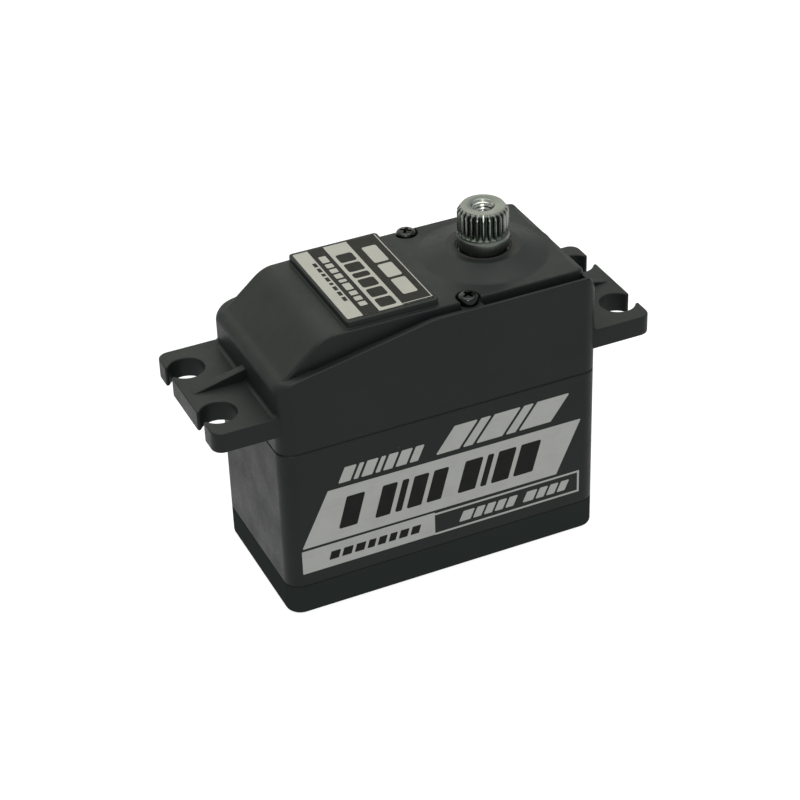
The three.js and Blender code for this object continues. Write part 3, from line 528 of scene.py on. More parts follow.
def rubber(name, base):
    """Matt rubber with a fine grain."""
    f = Finish(name, specular=0.2)
    f.colour(f.mix(f.remap(f.noise(2.0, 3.0), 0.35, 0.7, 0.0, 1.0), base, tuple(c * 1.7 for c in base)))
    f.rough(f.remap(f.noise(0.8, 2.0), 0.3, 0.7, 0.68, 0.82))
    f.bump(f.noise(0.25, 2.0), 0.01, 0.5)
    return f.mat


def circuit_green(name):
    """Solder mask with fine copper tracks showing through as a slightly lighter grid."""
    f = Finish(name, specular=0.5)
    wave = f.nodes.new("ShaderNodeTexWave")
    wave.inputs["Scale"].default_value = 1.0 / (2.0 * MM) / 6.0
    wave.inputs["Distortion"].default_value = 3.0
    f.links.new(f.coords, wave.inputs["Vector"])
    tracks = f.remap(wave.outputs["Fac"], 0.72, 0.78, 0.0, 1.0)
    f.colour(f.mix(tracks, (0.012, 0.075, 0.035), (0.03, 0.15, 0.06)))
    f.rough(f.remap(f.noise(0.7, 2.0), 0.3, 0.7, 0.25, 0.36))
    f.bump(tracks, 0.02, 0.4)
    return f.mat


def copper_coil(name):
    """Enamelled wire laid in fine slanted turns."""
    f = Finish(name, metallic=0.9)
    wave = f.nodes.new("ShaderNodeTexWave")
    wave.bands_direction = "DIAGONAL"
    wave.inputs["Scale"].default_value = 1.0 / (0.25 * MM) / 6.0
    wave.inputs["Distortion"].default_value = 0.6
    f.links.new(f.coords, wave.inputs["Vector"])
    f.colour(f.mix(wave.outputs["Fac"], (0.22, 0.07, 0.03), (0.62, 0.27, 0.13)))
    f.rough(f.remap(wave.outputs["Fac"], 0.0, 1.0, 0.42, 0.28))
    f.bump(wave.outputs["Fac"], 0.04, 0.6)
    return f.mat


CASE_BLACK = moulded_plastic("case_black", (0.0062, 0.0082, 0.0080), (0.0080, 0.0100, 0.0096),
                             0.47, specular=0.12)
COVER_BLACK = moulded_plastic("cover_black", (0.0128, 0.0158, 0.0154), (0.0142, 0.0172, 0.0166),
                              0.85, specular=0.01)
RUBBER_BLACK = rubber("rubber_black", (0.011, 0.011, 0.011))
PRINT_SILVER = foil_print("print_silver", (0.245, 0.25, 0.24))
LABEL_SILVER = foil_print("label_silver", (0.205, 0.207, 0.19), 0.38)
INK_BLACK = ink("ink_black", (0.0050, 0.0056, 0.0050))
SCREW_BLACK = machined("screw_black", (0.022, 0.024, 0.023), (0.012, 0.013, 0.013), 0.2)
# the dark colour given for the shaft is painted shade for the tooth valleys and teeth run-out, and the
# collar's darker tone
STEEL_BRIGHT = shaft_steel("steel_bright", base=(0.27, 0.29, 0.265), face=(0.15, 0.168, 0.158),
                           tarnish=(0.12, 0.135, 0.11), shade_and_collar_colour=(0.028, 0.038, 0.03), rough=0.22)
STEEL_PLAIN = machined("steel_plain", (0.58, 0.59, 0.58), (0.42, 0.42, 0.41), 0.32)
STEEL_GEAR = machined("steel_gear", (0.48, 0.49, 0.5), (0.3, 0.3, 0.31), 0.3)
STEEL_CAN = machined("steel_can", (0.6, 0.6, 0.61), (0.47, 0.47, 0.46), 0.24)
BRASS = machined("brass_gear", (0.62, 0.45, 0.17), (0.42, 0.29, 0.1), 0.3)
MAGNET_GREY = machined("magnet_grey", (0.33, 0.33, 0.35), (0.24, 0.24, 0.25), 0.28)
PLASTIC_GREY = moulded_plastic("plastic_grey", (0.028, 0.028, 0.03), (0.042, 0.042, 0.044), 0.5, 0.3)
BOARD_GREEN = circuit_green("board_green")
COPPER = copper_coil("copper_wire")
CAN_FOIL = machined("can_foil", (0.55, 0.55, 0.56), (0.4, 0.4, 0.41), 0.35)

NODE_FINISH = {
    "case_screw": SCREW_BLACK, "motor_screw": SCREW_BLACK,
    "output_gear": STEEL_GEAR, "gear_1": BRASS, "gear_2": STEEL_GEAR, "gear_3": STEEL_GEAR,
    "upper_bearing": STEEL_PLAIN, "lower_bearing": STEEL_PLAIN,
    "middle_pin": STEEL_PLAIN, "idler_pin": STEEL_PLAIN,
    "motor_can": STEEL_CAN, "motor_end_cap": PLASTIC_GREY, "motor_bush": BRASS, "motor_magnet": MAGNET_GREY,
    "motor_winding": COPPER, "motor_shaft": STEEL_PLAIN, "motor_pinion": BRASS,
    "sensor_body": PLASTIC_GREY, "sensor_shaft": PLASTIC_GREY, "sensor_lead": RUBBER_BLACK,
    "circuit_board": BOARD_GREEN, "board_chip": PLASTIC_GREY, "board_driver": PLASTIC_GREY,
    "board_capacitor": CAN_FOIL,
}


# ---------------------------------------------------------------- case profile
def soft_min(a, b, reach):
    h = max(reach - abs(a - b), 0.0) / reach
    return min(a, b) - h * h * reach / 4


def soft_max(a, b, reach):
    return -soft_min(-a, -b, reach)


def end_slope_z(x):
    return TOP_Z - (x - END_SLOPE_X) * END_SLOPE


def rim_z(x):
    """Height of the side walls' rim: level over the gears, falling to the motor end."""
    falling = RIM_Z - (RIM_BREAK_X - x) * RIM_SLOPE
    return soft_min(soft_min(RIM_Z, falling, 0.16), end_slope_z(x), 0.5)


def top_z(x):
    """Height of the raised body: flat, with a steep roof at the motor end that runs out into the rim."""
    roof = 31.8 + (x - ROOF_FOOT_X) * ROOF_SLOPE
    level = soft_min(soft_min(TOP_Z, roof, 1.0), end_slope_z(x), 0.4)
    return soft_max(level, rim_z(x) + 0.01, 0.35)


def steps(start, stop, count):
    return [start + (stop - start) * k / count for k in range(count + 1)]


# ---------------------------------------------------------------- bottom cover and middle case
FOOT_R = 0.55
SCREW_X = 17.4
SCREW_Y = 7.4
CORNERS = [(sx, sy) for sx in (1, -1) for sy in (1, -1)]


def lower_fillet(z, radius, count=5):
    """Levels of a convex fillet that starts at height z, inset by radius."""
    levels = []
    for k in range(count + 1):
        angle = math.pi / 2 * k / count
        levels.append((radius * (1 - math.sin(angle)), z + radius * (1 - math.cos(angle))))
    return levels


def corner_posts(r, low, high, sides=24):
    return [cylinder(r, low, high, sx * SCREW_X, sy * SCREW_Y, sides) for sx, sy in CORNERS]


def gland_window(slack=0.02):
    return cuboid(HALF_LENGTH - WALL - 1, HALF_LENGTH + 1, gland_low.y - slack, gland_high.y + slack,
                  gland_low.z - slack, gland_high.z + slack)


def bottom_cover():
    levels = lower_fillet(0.0, FOOT_R) + [(0, LID_Z - SEAM_BREAK), (SEAM_BREAK, LID_Z)]
    body = layered(-HALF_LENGTH, HALF_LENGTH, HALF_WIDTH, CORNER_R, levels)
    hollow = layered(-HALF_LENGTH + WALL, HALF_LENGTH - WALL, HALF_WIDTH - WALL, CORNER_R - WALL,
                     [(0, 1.2), (0, LID_Z + 1)])
    cut(hollow, *corner_posts(2.1, 0, LID_Z + 2))
    bore = [(0, -1), (1.85, -1), (1.85, 0.0), (1.72, 0.13), (1.72, 1.4), (0.9, 1.4), (0.9, 6), (0, 6)]
    bores = [turned(bore, sx * SCREW_X, sy * SCREW_Y, 40) for sx, sy in CORNERS]
    return cut(body, hollow, gland_window(), *bores)


def middle_case():
    levels = [(SEAM_BREAK, LID_Z), (0, LID_Z + SEAM_BREAK), (0, DECK_Z - SEAM_BREAK), (SEAM_BREAK, DECK_Z)]
    body = layered(-HALF_LENGTH, HALF_LENGTH, HALF_WIDTH, CORNER_R, levels)
    deck_low = DECK_Z - DECK_THICKNESS
    hollow = layered(-HALF_LENGTH + WALL, HALF_LENGTH - WALL, HALF_WIDTH - WALL, CORNER_R - WALL,
                     [(0, LID_Z - 1), (0, deck_low)])
    cut(hollow, *corner_posts(1.9, LID_Z - 2, DECK_Z))
    cut(body, hollow)
    join(body, *[cylinder(1.3, 15.0, DECK_Z - 1, SCREW_CENTRE_X, y, 24) for y in SCREW_CENTRES_Y])
    tools = corner_posts(0.9, LID_Z - 1, DECK_Z + 1)
    tools += [cylinder(0.76, 16.0, DECK_Z + 1, SCREW_CENTRE_X, y, 24) for y in SCREW_CENTRES_Y]
    tools += [cylinder(0.85, deck_low - 1, DECK_Z + 1, MOTOR_X, side * 4.9, 24) for side in (1, -1)]
    tools += [
        cylinder(2.4, deck_low - 1, DECK_Z + 1, MOTOR_X),
        cylinder(3.53, deck_low + 0.3, DECK_Z + 1, SHAFT_X),
        cylinder(2.6, deck_low - 1, DECK_Z + 1, SHAFT_X),
        cylinder(0.77, DECK_Z - 1.2, DECK_Z + 1, PIN_X, 0, 24),
        gland_window(),
    ]
    return cut(body, *tools)


# ---------------------------------------------------------------- upper case
def rim_radius(x):
    """Radius of the rim's outer edge: fine along the sides, fuller at the motor end."""
    share = min(max((-HALF_LENGTH + 2.6 - x) / 2.6, 0.0), 1.0)
    return RIM_R + (END_RIM_R - RIM_R) * share * share * (3 - 2 * share)


def convex_edge(radius, z, count=6):
    """Levels of an edge fillet whose radius and height are functions of x."""
    levels = []
    for k in range(count + 1):
        angle = math.pi / 2 * k / count
        levels.append((lambda x, c=1 - math.cos(angle): radius(x) * c,
                       lambda x, d=1 - math.sin(angle): z(x) - radius(x) * d))
    return levels


def ledge_groove(x0, x1, depth, width, side):
    """Cutter for one length of the groove in the ledge beside the raised body.
    Its depth and width run straight between the two given at its ends."""
    inner = HALF_WIDTH - INSET_Y
    verts = []
    count = 16
    for x in steps(x0, x1, count):
        share = (x - x0) / (x1 - x0)
        low = rim_z(x) - depth[0] - (depth[1] - depth[0]) * share
        outer = inner + width[0] + (width[1] - width[0]) * share
        verts += [(x, side * (inner - 0.2), low), (x, side * outer, low),
                  (x, side * outer, TOP_Z + 1), (x, side * (inner - 0.2), TOP_Z + 1)]
    last = 4 * count
    faces = [(0, 1, 2, 3), (last + 3, last + 2, last + 1, last)]
    for k in range(count):
        for i in range(4):
            j = (i + 1) % 4
            faces.append((4 * k + i, 4 * k + j, 4 * k + 4 + j, 4 * k + 4 + i))
    return facing_out(new_object("groove", mesh_from(verts, faces)))


def wall_block():
    levels = [(SEAM_BREAK, DECK_Z), (0, DECK_Z + SEAM_BREAK)] + convex_edge(rim_radius, rim_z)
    levels.append((1.3, rim_z))
    stations = steps(-18.0, -17.4, 3) + steps(-16, -3, 4) + steps(-1.6, 2.0, 18) + steps(4, 17, 3)
    block = layered(-HALF_LENGTH, HALF_LENGTH, HALF_WIDTH, CORNER_R, levels, stations)
    grooves = []
    for side in (1, -1):
        grooves.append(ledge_groove(GROOVE_X[0], SCREW_CENTRE_X - LUG_HALF, (0.12, 0.32), (0.4, 0.62), side))
        grooves.append(ledge_groove(SCREW_CENTRE_X + LUG_HALF, GROOVE_X[1], (0.6, 0.6), (0.8, 0.8), side))
    return cut(block, *grooves)


def block_radius(x):
    """Radius of the raised body's edge: fine over the gears, fuller on the roof."""
    share = min(max((CREST_X + 5.0 - x) / 5.0, 0.0), 1.0)
    return BLOCK_R + (CREST_R - BLOCK_R) * share * share * (3 - 2 * share)


def top_block():
    x0, x1 = -19.55, 18.72
    half_width = HALF_WIDTH - INSET_Y
    levels = [(0, 29.5)] + convex_edge(block_radius, top_z)
    levels.append((0.9, top_z))
    stations = steps(-18.4, -16.9, 12) + steps(-16.4, -15.4, 4) + steps(-15.0, -11.6, 22) + steps(-10, 14, 4)
    stations += steps(16.4, 17.0, 3)
    return layered(x0, x1, half_width, 1.1, levels, stations)


def label_pad():
    """Raised pad under the top label, with a small fillet round its foot."""
    levels = [(-PAD_FOOT_R, TOP_Z - 0.6)] + root_fillet(TOP_Z + 0.004, PAD_FOOT_R, 3)
    levels += quarter(TOP_Z + PAD_HEIGHT, 0.16, 4)
    pad = layered(PAD_X[0], PAD_X[1], (PAD_Y[1] - PAD_Y[0]) / 2, 0.45, levels)
    pad.data.transform(Matrix.Translation((0, (PAD_Y[0] + PAD_Y[1]) / 2, 0)))
    return pad


def shaft_boss():
    """Cone round the output shaft, with a flat ring at its top."""
    profile = rounded([
        (0, TOP_Z - 1.4, 0), (8.3, TOP_Z - 1.4, 0), (8.3, TOP_Z - 0.03, 0), (7.55, TOP_Z - 0.01, 2.9),
        (4.4, BOSS_TOP_Z, 0.6), (0, BOSS_TOP_Z, 0),
    ], 8)
    return turned([(p.x, p.y) for p in profile], SHAFT_X, 0, 96)


def mirrored(points, side):
    return [(side * a, b) for a, b in points]


def ear(side):
    """Mounting ear with two holes open to its end, its gusset rib and the fillet at the wall."""
    along, across = EAR_X - 2.7, EAR_Y - 2.6
    near_corner = rounded([(along, -EAR_Y, 0), (EAR_X, -EAR_Y, EAR_CORNER_R), (EAR_X, -across, 0)], 7)
    far_corner = rounded([(EAR_X, across, 0), (EAR_X, EAR_Y, EAR_CORNER_R), (along, EAR_Y, 0)], 7)
    plan = [(EAR_BURIED_X, -EAR_Y)] + [tuple(p) for p in near_corner]
    opening = math.asin(SLOT_HALF / HOLE_R)
    for cy in (-HOLE_Y, HOLE_Y):
        plan.append((EAR_X, cy - SLOT_HALF))
        for k in range(41):
            angle = -opening - (2 * math.pi - 2 * opening) * k / 40
            plan.append((HOLE_X + HOLE_R * math.cos(angle), cy + HOLE_R * math.sin(angle)))
        plan.append((EAR_X, cy + SLOT_HALF))
    plan += [tuple(p) for p in far_corner] + [(EAR_BURIED_X, EAR_Y)]
    plate = soften(prism(mirrored(plan, side), EAR_Z, EAR_TOP_Z), EAR_EDGE_R, 3)
    rib_side = [(EAR_BURIED_X, 27.0), (RIB_TIP_X, 27.0),
                (RIB_TIP_X, EAR_TOP_Z + 0.02), (EAR_BURIED_X, RIB_TOP_Z)]
    rib = soften(prism(mirrored(rib_side, side), -RIB_HALF, RIB_HALF, "Y"), 0.14, 3)
    levels = [(-EAR_ROOT_R, EAR_TOP_Z - 0.4)] + root_fillet(EAR_TOP_Z, EAR_ROOT_R, 6)
    root = layered(-HALF_LENGTH, HALF_LENGTH, HALF_WIDTH, CORNER_R, levels)
    low, high = sorted((side * EAR_BURIED_X, side * (HALF_LENGTH + 2)))
    keep(root, cuboid(low, high, EAR_EDGE_R - EAR_Y, EAR_Y - EAR_EDGE_R, EAR_TOP_Z - 0.3, EAR_TOP_Z + 2))
    return join(plate, rib, root)


def gear_chamber():
    wall = WALL - 0.1

    def low_roof(x):
        """Ceiling under the rim, lower where the end wall slopes."""
        return min(rim_z(x) - wall, 33.95) - (0.6 if x > 17.5 else 0.0)

    low = layered(-HALF_LENGTH + wall, HALF_LENGTH - wall, HALF_WIDTH - wall, 0.6,
                  [(0, DECK_Z - 1), (0, low_roof)], steps(-17, 17.4, 16))
    high_side = [(-17.1, 27), (16.2, 27), (16.2, TOP_Z - wall), (CREST_X + 0.6, TOP_Z - wall), (-17.1, 31.4)]
    high = prism(high_side, -7.65, 7.65, "Y")
    return join(low, high)


def upper_case():
    body = wall_block()
    join(body, top_block(), label_pad(), shaft_boss())
    cut(body, gear_chamber())
    supports = corner_posts(1.8, DECK_Z + 0.02, 28.7)
    supports += [
        cylinder(6.2, 33.0, TOP_Z - 0.5, SHAFT_X),
        cylinder(1.7, 33.3, TOP_Z - 0.5, PIN_X, 0, 24),
        cylinder(1.7, 30.3, TOP_Z - 0.5, IDLER_PIN_X, 0, 24),
    ]
    supports += [cylinder(1.25, DECK_Z + 0.02, TOP_Z - 1, SCREW_CENTRE_X, y, 24) for y in SCREW_CENTRES_Y]
    join(body, *supports)
    join(body, ear(1), ear(-1))
    bores = corner_posts(0.86, DECK_Z - 1, 27.8)
    bores += [
        cylinder(5.03, 32.0, 36.0, SHAFT_X),
        cylinder(3.65, 32, 40, SHAFT_X, 0, 96),
        cylinder(0.77, 32.0, 34.4, PIN_X, 0, 24),
        cylinder(0.77, 30.0, 34.4, IDLER_PIN_X, 0, 24),
    ]
    for y in SCREW_CENTRES_Y:
        bores.append(cylinder(0.76, DECK_Z - 1, TOP_Z + 1, SCREW_CENTRE_X, y, 24))
        recess = [(0, SCREW_SEAT_Z), (1.42, SCREW_SEAT_Z), (1.42, 35.67), (1.52, 35.77), (1.52, 38), (0, 38)]
        bores.append(turned(recess, SCREW_CENTRE_X, y, 48))
    return cut(body, *bores)


# ---------------------------------------------------------------- screws
def frustum(x, y, low, high, low_x, low_y, high_x, high_y):
    signs = [(-1, -1), (1, -1), (1, 1), (-1, 1)]
    verts = [(x + sx * low_x, y + sy * low_y, low) for sx, sy in signs]
    verts += [(x + sx * high_x, y + sy * high_y, high) for sx, sy in signs]
    faces = [(3, 2, 1, 0), (4, 5, 6, 7)] + [(i, (i + 1) % 4, 4 + (i + 1) % 4, 4 + i) for i in range(4)]
    return facing_out(new_object("frustum", mesh_from(verts, faces)))


def pan_screw(head_r, head_low, head_high, shank_r, tip, x, y, turn=0.0):
    """Cross-recess pan-head screw standing on its tip, head up."""
    rise = head_high - head_low
    head = rounded([(0, tip, 0), (shank_r * 0.45, tip, 0), (shank_r, tip + 1.1, 0), (shank_r, head_low, 0),
                    (head_r, head_low, 0.08), (head_r, head_high - rise * 0.1, rise * 0.42),
                    (head_r * 0.3, head_high, 0.6), (0, head_high, 0)], 6)
    screw = turned([(p.x, p.y) for p in head], 0, 0, 48)
    depth = head_high - rise * 0.62
    arm = head_r * 0.66
    tools = []
    for quarter_turn in (0, 1):
        tool = frustum(0, 0, depth, head_high + 0.3, arm * 0.52, 0.13, arm * 1.12, 0.2)
        tool.data.transform(Matrix.Rotation(turn + quarter_turn * math.pi / 2, 4, "Z"))
        tools.append(tool)
    centre_pit = [(0, depth - 0.12), (0.3, depth), (0.36, head_high + 0.3), (0, head_high + 0.3)]
    tools.append(turned(centre_pit, 0, 0, 24))
    cut(screw, *tools)
    screw.data.transform(Matrix.Translation((x, y, 0)))
    return screw


# ---------------------------------------------------------------- output shaft
SPLINE_TEETH = 25
TIP_R = 2.98
ROOT_R = 2.5
SPLINE_Z = 38.6
CHAMFER_Z = 41.2
END_FACE_R = 2.5
THREAD_PITCH = 0.45
HORN_HOLE_R = 1.05
TOOTH = [(-0.5, 0.0), (-0.36, 0.0), (-0.3, 0.06), (-0.11, 0.92), (-0.06, 1.0),
         (0.06, 1.0), (0.11, 0.92), (0.3, 0.06), (0.36, 0.0)]


def output_shaft():
    """One skin from the sensor socket at the bottom, up the outside and down the threaded hole."""
    ring_points = [((tooth + share) / SPLINE_TEETH * 2 * math.pi, height)
                   for tooth in range(SPLINE_TEETH) for share, height in TOOTH]

    def plain(r):
        return lambda angle, height: r

    def toothed(z):
        runout = max(0.0, 1 - (z - SPLINE_Z) / 0.5)
        root = ROOT_R + (TIP_R - ROOT_R) * runout * runout
        chamfered = max(0.0, (z - CHAMFER_Z) / (SHAFT_TOP_Z - CHAMFER_Z))
        limit = TIP_R + (END_FACE_R - TIP_R) * chamfered
        return lambda angle, height: min(max(ROOT_R + (TIP_R - ROOT_R) * height, root), limit)

    def threaded(z):
        def radius(angle, height):
            phase = (z / THREAD_PITCH + angle / (2 * math.pi)) % 1.0
            return HORN_HOLE_R + 0.2 * abs(phase * 2 - 1)
        return radius

    levels = [(19.8, plain(1.25)), (17.2, plain(1.25)), (17.2, plain(1.85)), (17.35, plain(2.0)),
              (29.7, plain(2.0)), (29.7, plain(2.97)), (36.2, plain(2.97)), (36.2, plain(2.8)),
              (37.05, plain(2.8)),
              (37.06, plain(2.96)), (37.12, plain(3.05)), (37.22, plain(3.08)), (38.1, plain(3.08)),
              (38.25, plain(3.05)), (38.4, plain(3.0)), (38.5, plain(TIP_R))]
    levels += [(z, toothed(z)) for z in steps(SPLINE_Z, SPLINE_Z + 0.5, 5) + steps(39.5, CHAMFER_Z, 3)]
    levels += [(z, toothed(z)) for z in steps(CHAMFER_Z, SHAFT_TOP_Z, 5)[1:]]
    levels += [(SHAFT_TOP_Z, plain(END_FACE_R - 0.04)), (SHAFT_TOP_Z, plain(1.46)),
               (SHAFT_TOP_Z - 0.03, plain(1.4)), (SHAFT_TOP_Z - 0.3, plain(1.24))]
    levels += [(z, threaded(z)) for z in steps(SHAFT_TOP_Z - 0.36, SHAFT_TOP_Z - 4.0, 54)]
    levels += [(35.2, plain(HORN_HOLE_R)), (34.9, plain(0.6))]

    n = len(ring_points)
    verts = [(SHAFT_X, 0, 19.8)]
    for z, radius in levels:
        for angle, height in ring_points:
            r = radius(angle, height)
            verts.append((SHAFT_X + r * math.cos(angle), r * math.sin(angle), z))
    verts.append((SHAFT_X, 0, 34.6))
    faces = [(0, 1 + i, 1 + (i + 1) % n) for i in range(n)]
    for k in range(len(levels) - 1):
        for i in range(n):
            j = (i + 1) % n
            faces.append((1 + k * n + i, 1 + (k + 1) * n + i, 1 + (k + 1) * n + j, 1 + k * n + j))
    last = 1 + (len(levels) - 1) * n
    faces += [(last + i, len(verts) - 1, last + (i + 1) % n) for i in range(n)]
    return facing_out(new_object("shaft", mesh_from(verts, faces)))


def shaft_seal():
    """Rubber ring between the shaft and the boss, with a thin lip leaning on the shaft."""
    profile = rounded([
        (3.04, seal_low.z, 0), (3.645, seal_low.z, 0), (3.645, 36.74, 0), (3.3, 36.74, 0.1),
        (3.2, 36.6, 0.1), (2.99, 36.58, 0.05), (2.86, 36.3, 0.03), (3.04, 36.24, 0),
    ], 4)
    return turned([(p.x, p.y) for p in profile], SHAFT_X, 0, 96)


# ---------------------------------------------------------------- labels
def gather(objects):
    """One mesh from several separate closed ones."""
    work = bmesh.new()
    for obj in objects:
        work.from_mesh(obj.data)
        bpy.data.objects.remove(obj)
    mesh = bpy.data.meshes.new("gathered")
    work.to_mesh(mesh)
    work.free()
    return new_object("gathered", mesh)


def slanted(x0, x1, z0, z1, lean=0.45, radius=0.12):
    """Parallelogram leaning to +X as it rises; x0 and x1 are its lower corners."""
    shift = (z1 - z0) * lean
    corners = [(x0, z0), (x1, z0), (x1 + shift, z1), (x0 + shift, z1)]
    return rounded([(x, z, radius) for x, z in corners], 3)


def bars(start, widths, gap, z0, z1, lean=0.45, radius=0.12):
    """Slanted bars one after another; a negative width leaves that much extra space instead."""
    shapes = []
    x = start
    for width in widths:
        if width > 0:
            shapes.append(slanted(x, x + width, z0, z1, lean, radius))
            x += width + gap
        else:
            x -= width
    return shapes


SIDE_Y = -HALF_WIDTH
LABEL_X = (pad_label_low.x, pad_label_high.x)
LABEL_Y = (pad_label_low.y, pad_label_high.y)


def side_print(shapes, depth):
    return gather([prism(shape, SIDE_Y - depth, SIDE_Y + 0.02, "Y") for shape in shapes])


def side_graphics():
    """Generic silver blocks and bars printed on the side; returns the silver and the dark shapes."""
    panel = rounded([(-18.2, 9.3, 0.1), (14.5, 9.2, 0.1), (17.7, 16.2, 0.1), (-14.7, 16.4, 0.1)], 3)
    strip = rounded([(-18.3, 5.75, 0.1), (-1.5, 5.75, 0), (-1.5, 8.95, 0), (-18.3, 8.95, 0.1)], 3)
    left, right, low, high, line = -1.5, 17.6, 5.7, 8.8, 0.26
    silver = [
        panel,
        strip,
        [(left, low), (right, low), (right, low + line), (left, low + line)],
        [(left, high - line), (right, high - line), (right, high), (left, high)],
        [(right - line, low + line), (right, low + line), (right, high - line), (right - line, high - line)],
    ]
    silver += bars(1.6, [1.5, 1.1, 1.1, 1.1, 1.1, -0.9, 1.4, 1.1, 1.1, 1.1], 0.32, 6.5, 7.9)
    silver += bars(-13.4, [1.5, 0.6, 1.4, 0.6, 1.2, 1.4, 1.1], 0.36, 17.0, 19.0)
    silver += bars(-1.2, [3.0, 1.3, 3.4, 1.3, 4.2], 0.42, 17.0, 20.3, 0.75)
    dark = bars(-13.6, [2.3, -1.6, 1.9, 0.85, 1.9, 1.9, -1.5, 2.3, 0.8, 2.3, 2.6], 0.62, 10.7, 14.9,
                0.28, 0.2)
    dark += bars(-15.0, [1.2, 1.2, 1.2, 0.9, 1.0, 0.9, 1.1, 1.1], 0.4, 6.75, 7.85, 0.3, 0.08)
    return silver, dark


def flat(x0, x1, y0, y1, radius):
    """Rounded rectangle in plan."""
    return rounded([(x0, y0, radius), (x1, y0, radius), (x1, y1, radius), (x0, y1, radius)], 3)


def column(x0, x1, start, lengths, gap, radius):
    """Rounded bars one after another across the label, from the far side to the near side."""
    shapes = []
    y = start
    for length in lengths:
        shapes.append(flat(x0, x1, y - length, y, radius))
        y -= length + gap
    return shapes


def top_graphics():
    """Dark stripes across the top label with generic bars on them; returns the dark and the silver shapes."""
    dark = [flat(-8.45, -6.5, *LABEL_Y, 0.03), flat(-3.6, LABEL_X[1], *LABEL_Y, 0.03)]
    dark += column(-6.05, -4.05, 5.6, (1.9, 1.9, 1.1, 1.9, 1.9, 1.9), 0.42, 0.3)
    dark += column(-9.1, -8.65, 5.1, (0.9, 0.9, 0.6, 0.9, 0.5, 0.9, 0.9, 0.9), 0.38, 0.05)
    silver = column(-7.93, -7.03, 6.1, (1.5, 0.9, 0.9, 1.0, 0.6, 1.5, 0.9, 0.9, 0.9), 0.36, 0.12)
    silver += column(-2.66, -0.87, 5.83, (3.9, 3.1, 3.6), 0.5, 0.25)
    line, margin = 0.13, 0.1
    right, near = LABEL_X[1] - margin, LABEL_Y[0] + margin
    silver.append([(-3.6, near), (right, near), (right, LABEL_Y[1]), (right - line, LABEL_Y[1]),
                   (right - line, near + line), (-3.6, near + line)])
    return dark, silver


# ---------------------------------------------------------------- the pieces
def build():
    place(bottom_cover(), "cover_shell", "housing", COVER_BLACK, ["bottom_cover"], "case_black")
    place(middle_case(), "middle_shell", "housing", CASE_BLACK, ["middle_case"], "case_black")
    place(upper_case(), "upper_shell", "housing", CASE_BLACK, ["upper_case"], "case_black")

    for node, y, turn in zip(("top_screw_near", "top_screw_far"), SCREW_CENTRES_Y, (0.35, 0.9)):
        screw = pan_screw(1.18, SCREW_SEAT_Z + 0.02, screw_high.z, 0.7, screw_low.z, SCREW_CENTRE_X, y, turn)
        place(screw, node + "_finished", "housing", SCREW_BLACK, [node], "screw_black")
    for i in range(4):
        node = f"case_screw_{i + 1}"
        low, high = box_mm(node)
        screw = pan_screw(1.6, -1.38, -low.z, 0.8, -high.z, 0, 0, 0.4 + i)
        screw.data.transform(Matrix.Rotation(math.pi, 4, "X"))
        screw.data.transform(Matrix.Translation(((low.x + high.x) / 2, (low.y + high.y) / 2, 0)))
        place(screw, node + "_finished", "housing", SCREW_BLACK, [node], "screw_black")

    place(output_shaft(), "splined_shaft", "output", STEEL_BRIGHT, ["output_shaft"], "steel_bright")
    place(shaft_seal(), "seal_ring", "housing", RUBBER_BLACK, ["shaft_seal"], "rubber_black")

    silver, dark = side_graphics()
    place(side_print(silver, 0.015), "side_print_silver", "housing", PRINT_SILVER, ["side_label"],
          "label_silver")
    place(side_print(dark, 0.028), "side_print_dark", "housing", INK_BLACK, [], "label_black")

    label_z = pad_label_low.z
    base = soften(prism(flat(*LABEL_X, *LABEL_Y, 0.2), label_z - 0.03, label_z + 0.08), 0.03, 2)
    place(base, "label_film", "housing", LABEL_SILVER, ["top_label"], "label_silver")
    dark, silver = top_graphics()
    ink_low = label_z + 0.05
    ink_shapes = gather([prism(shape, ink_low, label_z + 0.092) for shape in dark])
    place(ink_shapes, "label_ink", "housing", INK_BLACK, [], "label_black")
    bar_shapes = gather([prism(shape, ink_low, label_z + 0.104) for shape in silver])
    place(bar_shapes, "label_bars", "housing", LABEL_SILVER, [], "label_silver")

    outline = rounded([(gland_low.y, gland_low.z, 0.5), (gland_high.y, gland_low.z, 0.5),
                       (gland_high.y, gland_high.z, 0.5), (gland_low.y, gland_high.z, 0.5)], 6)
    gland = soften(prism(outline, gland_low.x, gland_high.x, "X"), 0.18, 3)
    middle = (gland_low.z + gland_high.z) / 2
    slot_outline = rounded([(-2.0, middle - 0.6, 0.55), (2.0, middle - 0.6, 0.55),
                            (2.0, middle + 0.6, 0.55), (-2.0, middle + 0.6, 0.55)], 6)
    cut(gland, prism(slot_outline, gland_low.x - 1, gland_high.x + 1, "X"))
    place(gland, "gland_block", "housing", RUBBER_BLACK, ["cable_gland"], "rubber_black")

    for name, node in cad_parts.items():
        finish = next((m for key, m in NODE_FINISH.items() if name.startswith(key)), CASE_BLACK)
        node.data.materials.clear()
        node.data.materials.append(finish)


# ---------------------------------------------------------------- studio
# The camera's yaw from +Y towards +X, its pitch down and its roll, in degrees; its lens and its place.
CAMERA_ANGLES = (23.81, 33.68, -2.006)
CAMERA_LENS = 100.45
CAMERA_PLACE = (-89.151, -199.761, 164.134)


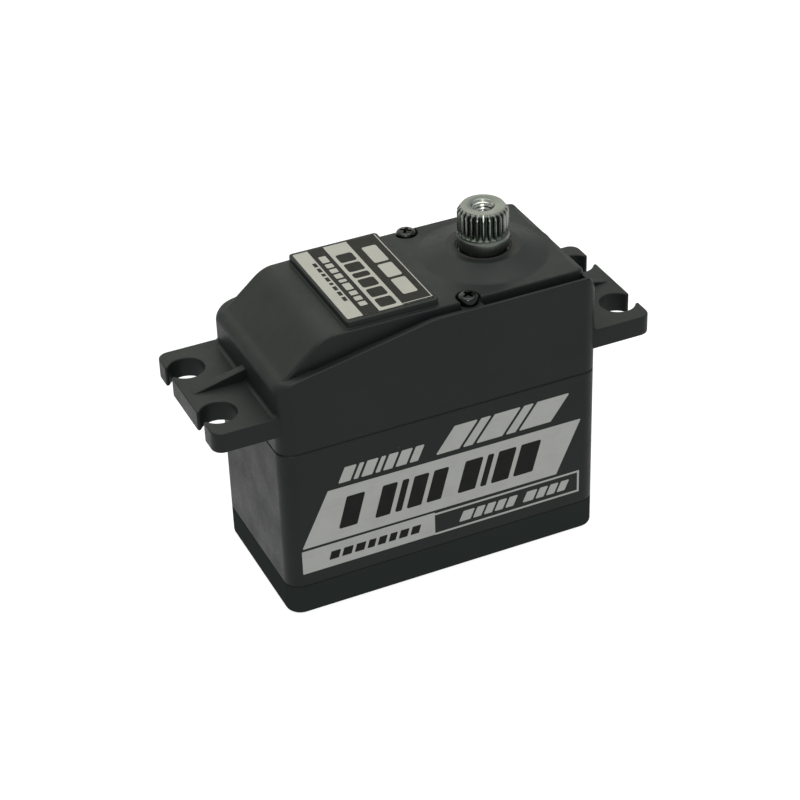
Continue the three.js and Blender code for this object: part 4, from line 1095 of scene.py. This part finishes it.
def studio():
    world = bpy.data.worlds.new("studio")
    bpy.context.scene.world = world
    world.use_nodes = True
    world.node_tree.nodes["Background"].inputs[0].default_value = (1.0, 1.0, 1.0, 1.0)
    world.node_tree.nodes["Background"].inputs[1].default_value = 0.9

    floor_finish = Finish("floor_pale", specular=0.2)
    slow_noise = floor_finish.noise(300, 2.0)
    floor_finish.colour(floor_finish.mix(slow_noise, (0.15, 0.15, 0.15), (0.16, 0.16, 0.16)))
    floor_finish.rough(0.7)
    floor_finish.shader.inputs["Emission Color"].default_value = (1.0, 1.0, 1.0, 1.0)
    floor_finish.shader.inputs["Emission Strength"].default_value = 0.86
    half = 4.0
    floor_corners = [(-half, -half, 0), (half, -half, 0), (half, half, 0), (-half, half, 0)]
    floor = new_object("floor", mesh_from(floor_corners, [(0, 1, 2, 3)], "floor"))
    floor.data.materials.append(floor_finish.mat)

    def softbox(name, direction, distance, size, radiance, colour=(1.0, 1.0, 1.0)):
        """Rectangular light facing the object from the given direction."""
        light = bpy.data.lights.new(name, "AREA")
        light.shape = "RECTANGLE"
        light.size, light.size_y = size
        light.energy = radiance * math.pi * size[0] * size[1]
        light.color = colour
        obj = new_object(name, light)
        toward = Vector(direction).normalized()
        obj.location = toward * distance
        obj.rotation_mode = "QUATERNION"
        obj.rotation_quaternion = (-toward).to_track_quat("-Z", "Y")
        obj.visible_camera = False

    softbox("back_box", (-0.1, 0.8, 0.5), 0.8, (1.2, 0.5), 0.85, (1.0, 0.97, 0.72))
    softbox("overhead_box", (0.05, 0.15, 1.0), 0.7, (0.7, 0.6), 3.9, (1.0, 0.99, 0.93))
    softbox("key_box", (-0.26, -0.59, 0.77), 0.6, (0.2, 0.2), 11.0, (1.0, 1.0, 0.97))

    yaw, pitch, roll = (math.radians(angle) for angle in CAMERA_ANGLES)
    forward = Vector((math.sin(yaw) * math.cos(pitch), math.cos(yaw) * math.cos(pitch), -math.sin(pitch)))
    level_right = Vector((math.cos(yaw), -math.sin(yaw), 0))
    level_up = level_right.cross(forward)
    right = level_right * math.cos(roll) + level_up * math.sin(roll)
    up = right.cross(forward)
    lens = bpy.data.cameras.new("camera")
    lens.lens = CAMERA_LENS
    lens.sensor_width = 36
    lens.clip_start = 0.01
    camera = new_object("camera", lens)
    turn = Matrix((right, up, -forward)).transposed()
    camera.matrix_world = Matrix.Translation(Vector(CAMERA_PLACE) * MM) @ turn.to_4x4()
    bpy.context.scene.camera = camera
    bpy.context.scene.view_settings.view_transform = "Standard"


build()
studio()
